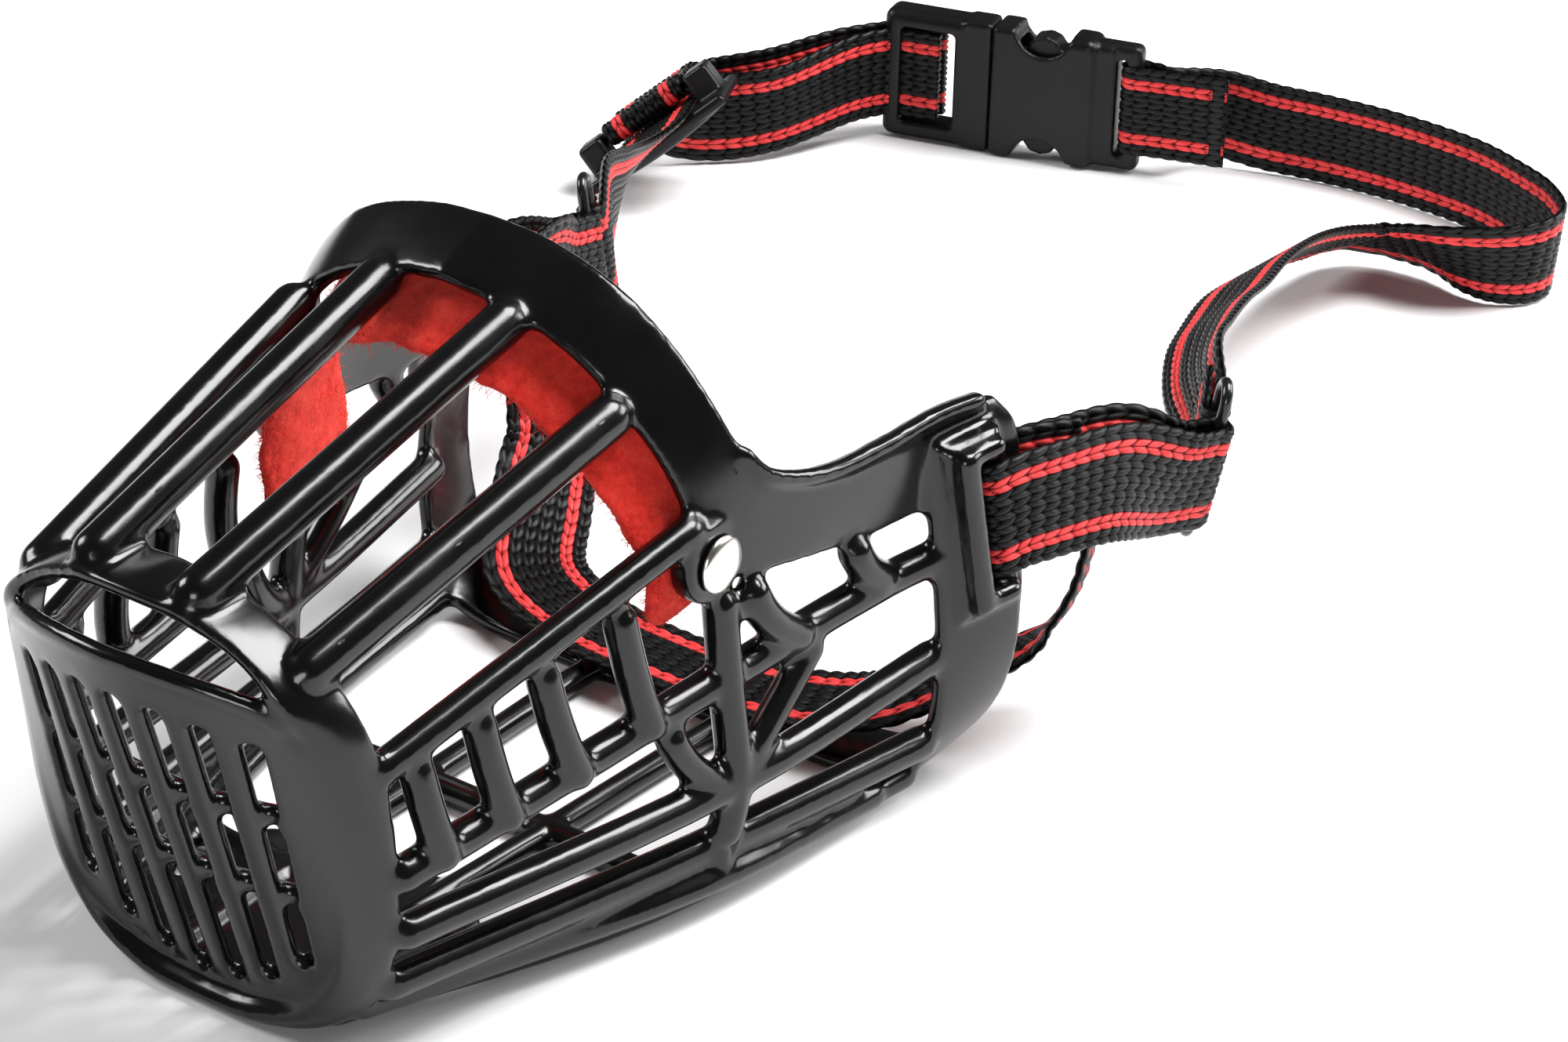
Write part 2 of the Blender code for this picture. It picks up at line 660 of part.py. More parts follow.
LIFT_AXIS = (0.0, 221.5, 47.5)              # the neck straps swing about X through both rings
RING_AXIS = Vector((0.2, 0.02, 0.98)).normalized()
TAB_BAR = Vector((76.3, 218.2, 46.6))       # ring bar inside the tab's fold
RING_TURN = {1: (-0.98, 0.1, 0.0), -1: (0.5, 0.85, 0.0)}    # from the tab's bar to the strap's
RING_RISE = 1.6                             # the ring stands higher than the webbing
ROD_FOLD = RING_ROD + GAP + WEB_T / 2


def strap_bar(side):
    """Ring bar that carries the neck strap, drawn on the left side."""
    turn = Vector(RING_TURN[side])
    turn = (turn - RING_AXIS * turn.dot(RING_AXIS)).normalized()
    return TAB_BAR + turn * RING_SPAN


def build_ring(name, side, mat):
    inward = (strap_bar(side) - TAB_BAR).normalized()
    middle = (TAB_BAR + strap_bar(side)) / 2 + RING_AXIS * RING_RISE
    arc = RING_SPAN / 2
    reach = RING_TALL / 2 - arc
    pts = []
    for end in (1, -1):
        for k in range(6):
            a = math.pi * k / 5
            off = inward * (-end * arc * math.cos(a))
            p = middle + off + RING_AXIS * end * (reach + arc * math.sin(a))
            pts.append((side * p.x, p.y, p.z))
    return paint(rod(name, pts, RING_ROD, PART, closed=True), mat)


# --- Straps -----------------------------------------------------------------------------------

def slot_point(out, back, along):
    """Drawing point in the left strap slot's own axes."""
    spot = slot_frame(1) @ (Vector((out, back, along)) * MM)
    return (spot.x / MM, spot.y / MM + NOSE_TO_REST, spot.z / MM)


def tab_stations():
    across = tuple(slot_frame(1).to_3x3() @ Vector((0, 0, 1)))
    start = [(slot_point(*p), across) for p in
             [(-4.6, 26, -3), (-5.4, 18, -1), (-6.6, 9, 0), (-6.6, 4.9, 0), (-5.2, 1.3, 0),
              (-1, 0, 0), (1.6, 0, 0), (3.0, 0.8, 0), (3.4, 3.0, 0), (3.4, 7, 0), (3.2, 14, -1),
              (1.4, 32, -5)]]
    back = (TAB_BAR - Vector(slot_point(0, 12, 0))).normalized()
    right = back.cross(RING_AXIS).normalized()
    axis = tuple(RING_AXIS)
    lead = [(tuple(TAB_BAR - back * d + right * (ROD_FOLD + e)), axis)
            for d, e in ((12, 0.4), (3, 0))]
    turn = wrap(TAB_BAR, axis, tuple(right), 180, ROD_FOLD)
    tail = [(tuple(TAB_BAR - back * 3 - right * ROD_FOLD), axis),
            (tuple(TAB_BAR - back * 12 - right * (ROD_FOLD + 0.2)), axis),
            (slot_point(-6.8, 38, -5.6), across), (slot_point(-7.2, 24, -2.6), across),
            (slot_point(-8.6, 11, -1), across)]
    return start + lead + turn + tail


NEAR_RUN = [
    (60.8, 241.6, 50, 14), (49.1, 259.5, 47, 32), (37.9, 282, 43, 46), (30.4, 300.9, 38.5, 52),
    (19.5, 329.4, 32, 54), (11.8, 354.8, 25, 52), (6.9, 376.8, 18.5, 52), (5.2, 395, 13.6, 55),
    (7.6, 406.5, 11.2, 56), (16.4, 409.2, 11.4, 46), (29.3, 408.6, 11.8, 30),
    (38.5, 411.2, 12, 18), (45.4, 418.5, 12, 10), (46.2, 427.5, 12, 5), (38, 438.5, 12, 0),
    (26, 445, 12, 0), (13, 450, 12, 0), (-10, 452.4, 12, 0), (-31, 451, 12, 0),
    (-44, 447.5, 12.6, 0), (-56, 442, 15, 0)]


def buckle_point(along, face, up=0.0):
    """Drawing point in the buckle's own axes, as seen from its middle."""
    axis = Vector(BUCKLE_DIR).normalized()
    side = Vector((0, 0, 1)).cross(axis)
    return tuple(Vector(BUCKLE_MID) + axis * along + side * face + Vector((0, 0, up)))


def slider_axes():
    along = Vector(SLIDER_ALONG).normalized()
    across = Vector(SLIDER_ACROSS)
    across = (across - along * across.dot(along)).normalized()
    return along, across.cross(along), across


def slider_point(along, face):
    """Drawing point in the slider's own axes."""
    run, out, across = slider_axes()
    return tuple(Vector(SLIDER_MID) + run * along + out * face)


def fixed_strap():
    up = (0, 0, 1)
    first = Vector(NEAR_RUN[0][:3])
    near = fold(strap_bar(1), RING_AXIS, first - strap_bar(1), (15, 0), ROD_FOLD)
    leave = -Vector(BUCKLE_DIR)
    far = fold(buckle_point(-BAR_OFFSET, 0), up, leave, (9, 24), close=2.2)
    return near + standing(NEAR_RUN) + far


def lower_run():
    path = [(-94, 246, 45, -4), (-110, 270, 35.5, 10), (-135.5, 305.4, 21.5, 34)]
    first = Vector(path[0][:3])
    bar = strap_bar(-1)
    bar.x = -bar.x
    axis = Vector((-RING_AXIS.x, RING_AXIS.y, RING_AXIS.z))
    run, out, across = slider_axes()
    start = fold(bar, axis, first - bar, (13, 0), ROD_FOLD)
    end = [(slider_point(s, 0), tuple(across)) for s in (-16, -8, -GAP / 2)]
    return start + standing(path) + end


def strap_loop():
    run, out, across = slider_axes()
    up = (0, 0, 1)
    bar = Vector(buckle_point(BAR_OFFSET, 0))
    away = Vector((-0.5, -0.86, 0))
    start = [(slider_point(s, 0), tuple(across)) for s in (GAP / 2, 8, 14)]
    there = [((-156.5, 361.5, 12.8), (0.25, 0.25, 0.93)), ((-144, 375, 13.6), (0.1, 0, 1))]
    turn = fold(tuple(bar), up, away, (12, 14), close=5.0)
    back = [((-151.5, 381.5, 14.5), (0.1, 0.05, 1)), ((-163.4, 367.5, 13.2), (0.3, 0.25, 0.92))]
    end = [(slider_point(s, 5.6), tuple(across)) for s in (18, 15, 12.9)]
    return start + there + turn + back + end


def strap_tail():
    run, out, across = slider_axes()
    centre = slider_point(0, WEB_T + 2 * GAP + CENTRE_BAR + 1.4)
    radius = CENTRE_BAR + GAP + WEB_T / 2
    turn = wrap(centre, tuple(across), tuple(out), 180, radius)
    lead = [(slider_point(12, 5.6), tuple(across)), (slider_point(5, 5.9), tuple(across))]
    close = [(slider_point(5, 2.6), tuple(across)), (slider_point(9, 3.4), tuple(across))]
    return lead + turn + close


THROAT = [
    ((66.2, 194, 40), (-0.42, 0.85, -0.3)), ((65.2, 190.5, 29), (-0.4, 0.87, -0.28)),
    ((61.8, 186, 20.5), (-0.3, 0.93, -0.18)), ((53.5, 173, 15.6), (-0.1, 1, 0.05)),
    ((42, 157, 10.6), (-0.15, 1, 0.1)), ((24, 150.5, 8.2), (0, 1, 0.05)), ((0, 149, 7.6), (0, 1, 0)),
]


# --- Slider and buckle ------------------------------------------------------------------------

def local_frame(middle, along, face, across):
    """Matrix placing a piece drawn in millimetres round the origin."""
    turn = Matrix((along, face, across)).transposed().to_4x4()
    return Matrix.Translation(point(*middle)) @ turn


def local_rod(name, ends, radius, frame, sides=12):
    """Straight round bar drawn in a piece's own axes."""
    a, b = [frame @ (Vector(e) * MM) for e in ends]
    shift = Vector((0, NOSE_TO_REST, 0))
    a, b = a / MM + shift, b / MM + shift
    return disc(name, a, b - a, [(0, radius), ((b - a).length, radius)], CUTTERS, sides)


def build_slider(mat):
    run, out, across = slider_axes()
    frame = local_frame(SLIDER_MID, run, out, across)
    half_l, half_w = SLIDER_LONG / 2, SLIDER_WIDE / 2
    hole = WEB / 2 + 3 * GAP
    outer = -(WEB_T / 2 + GAP + 1.5)
    centre = WEB_T + 2 * GAP + CENTRE_BAR + 1.4
    body = box("slider", (-half_w, outer - 1.5, -half_l), (half_w, outer + 1.5, half_l), PART,
               frame)
    bevel(body, 1.2, 2)
    for end in (1, -1):
        lo, hi = sorted((end * hole, end * (half_l - 1.0)))
        boolean(body, box("cheek", (-4, outer - 1.2, lo), (4, centre + 1.6, hi), CUTTERS, frame))
    for end in (1, -1):
        crown = [(end * (half_w - 2.6), outer - 0.6, z) for z in (-half_l + 4, half_l - 4)]
        boolean(body, local_rod("crown", crown, 2.1, frame))
    boolean(body, box("window", (-half_w + 5, outer - 9, -hole), (half_w - 5, centre + 9, hole),
                      CUTTERS, frame), "DIFFERENCE")
    bar = [(0, centre, -hole - 1), (0, centre, hole + 1)]
    boolean(body, local_rod("centre_bar", bar, CENTRE_BAR, frame))
    clean(body)
    return paint(body, mat)


def buckle_frame():
    along = Vector(BUCKLE_DIR).normalized()
    up = Vector((0, 0, 1))
    return local_frame(BUCKLE_MID, along, up.cross(along), up)


FEMALE_END = -33.0          # far end of the female half, from the buckle's middle
SEAM = 5.0                  # where the two halves meet
MALE_END = 34.0
CAVITY = (3.6, 13.4)        # half depth and half height of the socket
STRAP_HOLE = WEB / 2 + 3 * GAP
SCOOP = (-8.0, 18.5, 7.5)   # along, across and radius of the thumb scoops


def build_female(mat):
    frame = buckle_frame()
    half_t, half_z = BUCKLE_THICK / 2, BUCKLE_TALL / 2
    body = box("buckle_female", (-22, -half_t, -half_z), (SEAM, half_t, half_z), PART, frame)
    bevel(body, 2.0, 3)
    lug = box("lug", (FEMALE_END, -2.8, -half_z + 0.5), (-18, 2.8, half_z - 0.5), CUTTERS, frame)
    boolean(body, bevel(lug, 1.2, 2))
    boolean(body, box("strap_hole", (-60, -20, -STRAP_HOLE), (-23, 20, STRAP_HOLE), CUTTERS,
                      frame), "DIFFERENCE")
    boolean(body, box("socket", (-20, -CAVITY[0], -CAVITY[1]), (40, CAVITY[0], CAVITY[1]),
                      CUTTERS, frame), "DIFFERENCE")
    for end in (1, -1):
        ends = [(SCOOP[0], -20, end * SCOOP[1]), (SCOOP[0], 20, end * SCOOP[1])]
        boolean(body, local_rod("scoop", ends, SCOOP[2], frame, 28), "DIFFERENCE")
    bar = [(-BAR_OFFSET, 0, -STRAP_HOLE - 1), (-BAR_OFFSET, 0, STRAP_HOLE + 1)]
    boolean(body, local_rod("bar", bar, BAR, frame))
    clean(body)
    return paint(body, mat)


def build_male(mat):
    frame = buckle_frame()
    half_z = BUCKLE_TALL / 2
    body = box("buckle_male", (SEAM + GAP, -4.6, -half_z), (MALE_END, 4.6, half_z), PART, frame)
    bevel(body, 2.0, 3)
    boolean(body, box("strap_hole", (15, -20, -STRAP_HOLE), (60, 20, STRAP_HOLE), CUTTERS,
                      frame), "DIFFERENCE")
    boolean(body, box("tongue", (-16, -1.5, -1.8), (SEAM + 2, 1.5, 1.8), CUTTERS, frame))
    bar = [(BAR_OFFSET, 0, -STRAP_HOLE - 1), (BAR_OFFSET, 0, STRAP_HOLE + 1)]
    boolean(body, local_rod("bar", bar, BAR, frame))
    clean(body)
    return paint(body, mat)


# Outline of one sprung arm: along the buckle and across it.
PRONG = [
    (4.8, 6.2), (4.8, 9.6), (-2.4, 10.4), (-3.6, 12.9), (-5.2, 15.0), (-8.2, 15.8), (-10.8, 15.0),
    (-12.4, 12.9), (-16.4, 10.6), (-18.2, 8.6), (-17.8, 6.6), (-3, 6.4),
]
PRONG_HALF = 3.2


def build_prong(name, side, mat):
    frame = buckle_frame()
    outline = [(s, side * z) for s, z in PRONG]
    verts = [(s, t, z) for t in (-PRONG_HALF, PRONG_HALF) for s, z in outline]
    count = len(outline)
    faces = [tuple(range(count)), tuple(range(count, 2 * count))]
    for k in range(count):
        n = (k + 1) % count
        faces.append((k, n, count + n, count + k))
    world = [frame @ (Vector(v) * MM) for v in verts]
    return paint(mesh_object(name, world, faces), mat)


def move_origin(obj, spot):
    """Put an object's origin on its joint without moving its surface."""
    spot = Vector(spot)
    obj.data.transform(Matrix.Translation(-spot))
    obj.matrix_world = Matrix.Translation(spot)


def main():
    plastic = material("basket_plastic", (0.012, 0.012, 0.013), 0.22)
    hardware = material("buckle_plastic", (0.018, 0.018, 0.019), 0.42)
    ring_mat = material("ring_enamel", (0.01, 0.01, 0.011), 0.25)
    nickel = material("nickel", (0.72, 0.7, 0.67), 0.22, 1.0)
    felt = material("red_felt", (0.72, 0.03, 0.02), 0.95)
    web = material("webbing", (0.014, 0.013, 0.014), 0.8)
    build_basket(plastic)
    build_pad(felt)
    build_rivets(nickel)
    for side, label in ((1, "left"), (-1, "right")):
        build_ring("ring_" + label, side, ring_mat)
    tab = tab_stations()
    webbing("side_tab_left", tab, web)
    webbing("side_tab_right", mirror_stations(tab), web)
    throat = THROAT + mirror_stations(THROAT[:-1])[::-1]
    webbing("throat_strap", throat, web, wide=WEB - 2)
    webbing("neck_strap_fixed", fixed_strap(), web)
    webbing("neck_strap_lower", lower_run(), web)
    webbing("neck_strap_loop", strap_loop(), web)
    webbing("neck_strap_tail", strap_tail(), web)
    build_slider(hardware)
    build_female(hardware)
    build_male(hardware)
    for name in ("neck_strap_fixed", "neck_strap_lower", "buckle_female"):
        move_origin(bpy.data.objects[name], point(*LIFT_AXIS))
    frame = buckle_frame()
    for name, side in (("prong_upper", 1), ("prong_lower", -1)):
        prong = build_prong(name, side, hardware)
        pivot = Vector((PRONG_PIVOT[0], 0, side * PRONG_PIVOT[1])) * MM
        move_origin(prong, frame @ pivot)


main()
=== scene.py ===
"""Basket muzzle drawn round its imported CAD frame: cage, felt, webbing, rivets and buckle.

World frame: metres, +Z up, +X the left side of the muzzle, -Y the nose end.
Shapes are drawn in millimetres with y measured from the nose, and moved into the world
when their mesh is made.
"""
import math
import random

import bmesh
import bpy
import numpy as np
import openvdb
from mathutils import Matrix, Vector, noise


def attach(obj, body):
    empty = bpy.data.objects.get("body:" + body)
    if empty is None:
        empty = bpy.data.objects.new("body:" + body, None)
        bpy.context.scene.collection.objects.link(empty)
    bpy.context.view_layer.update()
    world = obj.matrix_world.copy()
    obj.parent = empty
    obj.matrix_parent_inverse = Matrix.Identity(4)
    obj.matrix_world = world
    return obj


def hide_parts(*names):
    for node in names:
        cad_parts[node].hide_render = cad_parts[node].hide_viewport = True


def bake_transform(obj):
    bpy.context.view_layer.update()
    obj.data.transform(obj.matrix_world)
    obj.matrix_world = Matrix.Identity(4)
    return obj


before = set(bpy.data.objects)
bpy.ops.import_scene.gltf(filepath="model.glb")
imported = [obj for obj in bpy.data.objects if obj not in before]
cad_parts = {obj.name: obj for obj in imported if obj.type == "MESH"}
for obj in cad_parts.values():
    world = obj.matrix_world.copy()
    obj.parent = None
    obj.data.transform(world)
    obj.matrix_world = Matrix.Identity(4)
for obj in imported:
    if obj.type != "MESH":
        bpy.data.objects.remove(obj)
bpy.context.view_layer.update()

MM = 0.001
NOSE_TO_REST = 152.0
GAP = 0.3
RIB = 3.4
TOP_RIB = 4.2
BELLY_RIB = 2.7
CHEEK_RIB = 3.1
WALL = 3.0
FELT = 3.0
WEB = 23.5              # webbing width
WEB_T = 1.6             # webbing thickness
BAR_STEPS = 16          # rings along a drawn round bar
UP = (0, 0, 1)
MAX_TRIS = 190000      # most triangles in one piece
CAGE_VOXEL = 0.6        # grids in which the moulded pieces are joined
BUCKLE_VOXEL = 0.33
SLIDER_VOXEL = 0.3
PRONG_VOXEL = 0.25
CAGE_EDGES = (1.1, 0.55)    # fillet of inner corners and rounding of outer edges
BUCKLE_EDGES = (0.7, 0.6)
SLIDER_EDGES = (0.7, 0.5)
PRONG_EDGES = (0.4, 0.6)
SHIFT = np.array((0.0, NOSE_TO_REST, 0.0))


# --- Meshes from millimetre points -------------------------------------------------------

def link(obj):
    bpy.context.scene.collection.objects.link(obj)
    return obj


def unit(v):
    v = np.asarray(v, float)
    return v / (np.linalg.norm(v) + 1e-12)


def make_mesh(name, verts, faces, mat):
    """Object from drawing points in millimetres."""
    mesh = bpy.data.meshes.new(name)
    world = (np.asarray(verts, float) - SHIFT) * MM
    mesh.from_pydata(world.tolist(), [], [list(map(int, f)) for f in faces])
    mesh.validate()
    obj = link(bpy.data.objects.new(name, mesh))
    mesh.materials.append(mat)
    return smooth(obj)


def smooth(obj):
    count = len(obj.data.polygons)
    obj.data.polygons.foreach_set("use_smooth", [True] * count)
    return obj


def face_out(obj):
    bm = bmesh.new()
    bm.from_mesh(obj.data)
    bmesh.ops.recalc_face_normals(bm, faces=bm.faces)
    bm.to_mesh(obj.data)
    bm.free()
    return obj


def smooth_rows(rows, per_span):
    """Smooth curve through rows of numbers, with per_span steps between rows."""
    rows = np.asarray(rows, float)
    last = len(rows) - 1
    steps = np.maximum(np.linalg.norm(np.diff(rows, axis=0), axis=1), 1e-6) ** 0.5
    rates = np.diff(rows, axis=0) / steps[:, None]
    slopes = [rates[0]]
    for i in range(1, last):
        before, after = steps[i - 1], steps[i]
        slopes.append((rates[i - 1] * after + rates[i] * before) / (before + after))
    slopes.append(rates[-1])
    out = []
    for i in range(last):
        for k in range(per_span):
            t = k / per_span
            rise = t * t * (3 - 2 * t)
            lead = t * (1 - t) ** 2 * steps[i]
            lag = t * t * (t - 1) * steps[i]
            out.append(rows[i] * (1 - rise) + rows[i + 1] * rise +
                       slopes[i] * lead + slopes[i + 1] * lag)
    out.append(rows[last])
    return np.array(out)


def bend(a, b, c):
    """Curve from a to c, pulled towards b."""
    a, b, c = (np.asarray(p, float) for p in (a, b, c))
    ts = [k / 10 for k in range(11)]
    return [a * (1 - t) ** 2 + b * 2 * t * (1 - t) + c * t * t for t in ts]


def mirrored(rows):
    """Rows from the middle outwards, repeated on the right side first."""
    rows = np.asarray(rows, float)
    sign = np.array([-1.0 if k % 3 == 0 else 1.0 for k in range(rows.shape[1])])
    return np.vstack([(rows * sign)[:0:-1], rows])


class Soup:
    """Closed shells collected as one list of triangles, in millimetres."""

    def __init__(self):
        self.verts = []
        self.tris = []
        self.count = 0

    def add(self, verts, faces):
        verts = np.asarray(verts, float)
        for f in faces:
            for k in range(1, len(f) - 1):
                self.tris.append((f[0] + self.count, f[k] + self.count, f[k + 1] + self.count))
        self.verts.append(verts)
        self.count += len(verts)
        return self

    def arrays(self):
        return (np.vstack(self.verts).astype(np.float32), np.array(self.tris, np.uint32))


def ring_faces(rows, sides, closed=False):
    """Faces between rings of points; closed joins the last ring to the first."""
    faces = []
    for i in range(rows if closed else rows - 1):
        p, q = i * sides, ((i + 1) % rows) * sides
        for k in range(sides):
            n = (k + 1) % sides
            faces.append((p + k, p + n, q + n, q + k))
    if not closed:
        faces.append(tuple(range(sides)))
        faces.append(tuple(range((rows - 1) * sides, rows * sides)))
    return faces


def circle(mid, side, up, radius, sides):
    turns = [2 * math.pi * k / sides for k in range(sides)]
    return [mid + (side * math.cos(a) + up * math.sin(a)) * radius for a in turns]


def frames_along(pts, closed=False):
    """Two axes square to the path at each point, carried along without twist."""
    pts = np.asarray(pts, float)
    n = len(pts)
    if closed:
        tangent = np.roll(pts, -1, 0) - np.roll(pts, 1, 0)
    else:
        tangent = np.gradient(pts, axis=0)
    tangent /= np.linalg.norm(tangent, axis=1)[:, None]
    ref = np.array((0.0, 0.0, 1.0))
    if abs(tangent[0] @ ref) > 0.8:
        ref = np.array((1.0, 0.0, 0.0))
    side = unit(np.cross(tangent[0], ref))
    sides = []
    for i in range(n):
        side = unit(side - tangent[i] * (side @ tangent[i]))
        sides.append(side)
    sides = np.array(sides)
    return sides, np.cross(tangent, sides)


def tube(pts, radius, sides=20, closed=False):
    """Round bar with ball ends, as rings of points."""
    pts = np.asarray(pts, float)
    radii = np.full(len(pts), radius)
    if not closed:
        ball = [0.02, 0.15, 0.4, 0.75]
        ends = []
        for a, b in ((pts[0], pts[1]), (pts[-1], pts[-2])):
            d = unit(b - a)
            ends.append([(a + d * radius * s, radius * math.sqrt(1 - (1 - s) ** 2)) for s in ball])
        head = [p for p, r in ends[0]]
        tail = [p for p, r in ends[1]][::-1]
        keep = [p for p in pts[1:-1]
                if np.linalg.norm(p - pts[0]) > radius and np.linalg.norm(p - pts[-1]) > radius]
        inner = [pts[0] + unit(pts[1] - pts[0]) * radius] + keep
        inner.append(pts[-1] + unit(pts[-2] - pts[-1]) * radius)
        radii = np.array([r for p, r in ends[0]] + [radius] * len(inner) +
                         [r for p, r in ends[1]][::-1])
        pts = np.array(head + inner + tail)
    side, up = frames_along(pts, closed)
    verts = []
    for i, p in enumerate(pts):
        verts += circle(p, side[i], up[i], radii[i], sides)
    return np.array(verts), ring_faces(len(pts), sides, closed)


SHELL_STEPS = 6


def shell(rows, thickness, crown=0.0):
    """Sheet between two edge curves, crowned across its width, as rings of points."""
    rows = np.asarray(rows, float)
    front, rear = rows[:, :3], rows[:, 3:]
    along = np.gradient(front + rear, axis=0)
    inward = np.cross(along, rear - front)
    inward /= np.linalg.norm(inward, axis=1)[:, None]
    sign = 1.0 if thickness > 0 else -1.0
    verts = []
    for i in range(len(rows)):
        top, low = [], []
        for k in range(SHELL_STEPS + 1):
            t = k / SHELL_STEPS
            base = front[i] * (1 - t) + rear[i] * t
            lift = crown * (1 - (2 * t - 1) ** 2)
            top.append(base - inward[i] * sign * lift)
            low.append(base + inward[i] * (thickness - sign * lift * 0.5))
        verts += top + low[::-1]
    return np.array(verts), ring_faces(len(rows), 2 * (SHELL_STEPS + 1))


def placed(frame_at, verts):
    """Drawing points from points in a piece's own axes; frame_at is its world matrix."""
    return np.array([frame_at @ (Vector(v) * MM) for v in verts]) / MM + SHIFT


def block(lo, hi, frame_at):
    """Square box in a piece's own axes."""
    verts = [(x, y, z) for x in (lo[0], hi[0]) for y in (lo[1], hi[1]) for z in (lo[2], hi[2])]
    faces = [(0, 1, 3, 2), (4, 6, 7, 5), (0, 4, 5, 1), (2, 3, 7, 6), (0, 2, 6, 4), (1, 5, 7, 3)]
    return placed(frame_at, verts), faces


def rounded(lo, hi, radius, frame_at):
    """Box with rounded corners in a piece's own axes."""
    steps = 10
    lo, hi = np.array(lo, float), np.array(hi, float)
    mid, half = (lo + hi) / 2, (hi - lo) / 2
    radius = min(radius, *(half * 0.98))
    sides = 4 * steps
    verts = []
    for i in range(2 * steps):
        t = math.pi * (i + 0.5) / (2 * steps)
        for k in range(sides):
            a = 2 * math.pi * (k + 0.5) / sides
            d = np.array((math.sin(t) * math.cos(a), math.sin(t) * math.sin(a), math.cos(t)))
            verts.append(mid + np.sign(d) * (half - radius) + d * radius)
    return placed(frame_at, verts), ring_faces(2 * steps, sides)


def turned(centre, axis, rows, sides=48):
    """Turned solid; rows are (distance along the axis, radius)."""
    axis = unit(axis)
    ref = np.array((0.0, 0.0, 1.0)) if abs(axis[2]) < 0.9 else np.array((1.0, 0.0, 0.0))
    side = unit(np.cross(axis, ref))
    up = np.cross(side, axis)
    verts = []
    for along, radius in rows:
        base = np.asarray(centre, float) + axis * along
        verts += circle(base, side, up, max(radius, 1e-3), sides)
    return np.array(verts), ring_faces(len(rows), sides)


def level_set(verts, tris, voxel, band, quads=None):
    """Distance field of a closed shell, band voxels deep each way."""
    turn = openvdb.createLinearTransform(voxelSize=voxel)
    return openvdb.FloatGrid.createLevelSetFromPolygons(
        verts, triangles=tris, quads=quads, transform=turn, exBandWidth=band, inBandWidth=band)


def offset(grid, distance, voxel):
    """Grow or shrink a solid by a distance and rebuild its distance field."""
    verts, tris, quads = grid.convertToPolygons(isovalue=distance)
    return level_set(verts, tris, voxel, abs(distance) / voxel + 3.0, quads)


def combine(grid, other, mix):
    """Copy of a grid, mixed with another where the other has values."""
    a = grid.deepCopy()
    lo, hi = other.evalActiveVoxelBoundingBox()
    size = [h - l + 1 for l, h in zip(lo, hi)]
    mine = np.zeros(size, np.float32)
    more = np.zeros(size, np.float32)
    a.copyToArray(mine, ijk=lo)
    other.copyToArray(more, ijk=lo)
    a.copyFromArray(mix(mine, more), ijk=lo)
    return a


def carve(grid, cutter):
    return combine(grid, cutter, lambda mine, tool: np.maximum(mine, -tool))


def join(grid, other):
    return combine(grid, other, np.minimum)


def fuse(name, adds, voxel, mat, cuts, fillet, round_over, limit=MAX_TRIS, plate=None):
    """One moulded piece: shells joined with filleted inner corners and rounded outer edges."""
    verts, tris = adds.arrays()
    reach = max(fillet, round_over) / voxel + 3.0
    grid = level_set(verts, tris, voxel, reach)
    for cut in cuts:
        cv, ct = Soup().add(*cut).arrays()
        grid = carve(grid, level_set(cv, ct, voxel, reach))
    if plate:
        grid = join(grid, plate(voxel, reach))
    grid = offset(grid, fillet, voxel)
    grid = offset(grid, -(fillet + round_over), voxel)
    verts, tris, quads = grid.convertToPolygons(isovalue=round_over)
    mesh = bpy.data.meshes.new(name)
    world = ((verts.astype(float) - SHIFT) * MM).astype(np.float32)
    faces = [tuple(f) for f in quads.tolist()] + [tuple(f) for f in tris.tolist()]
    mesh.from_pydata(world.tolist(), [], faces)
    obj = link(bpy.data.objects.new(name, mesh))
    mesh.materials.append(mat)
    relax = obj.modifiers.new("relax", "SMOOTH")
    relax.factor = 0.5
    relax.iterations = 3
    count = 2 * len(quads) + len(tris)
    if count > limit:
        thin = obj.modifiers.new("thin", "DECIMATE")
        thin.ratio = limit / count
    apply_all(obj)
    keep_largest(obj)
    return smooth(face_out(obj))


def apply_all(obj):
    graph = bpy.context.evaluated_depsgraph_get()
    mesh = bpy.data.meshes.new_from_object(obj.evaluated_get(graph))
    obj.modifiers.clear()
    obj.data = mesh
    return obj


def keep_largest(obj):
    """Drop stray specks that the joining leaves."""
    bm = bmesh.new()
    bm.from_mesh(obj.data)
    seen = set()
    groups = []
    for vert in bm.verts:
        if vert in seen:
            continue
        stack = [vert]
        seen.add(vert)
        group = []
        while stack:
            v = stack.pop()
            group.append(v)
            for edge in v.link_edges:
                other = edge.other_vert(v)
                if other not in seen:
                    seen.add(other)
                    stack.append(other)
        groups.append(group)
    groups.sort(key=len)
    for group in groups[:-1]:
        bmesh.ops.delete(bm, geom=group, context="VERTS")
    bm.to_mesh(obj.data)
    bm.free()


# --- Materials ---------------------------------------------------------------------------

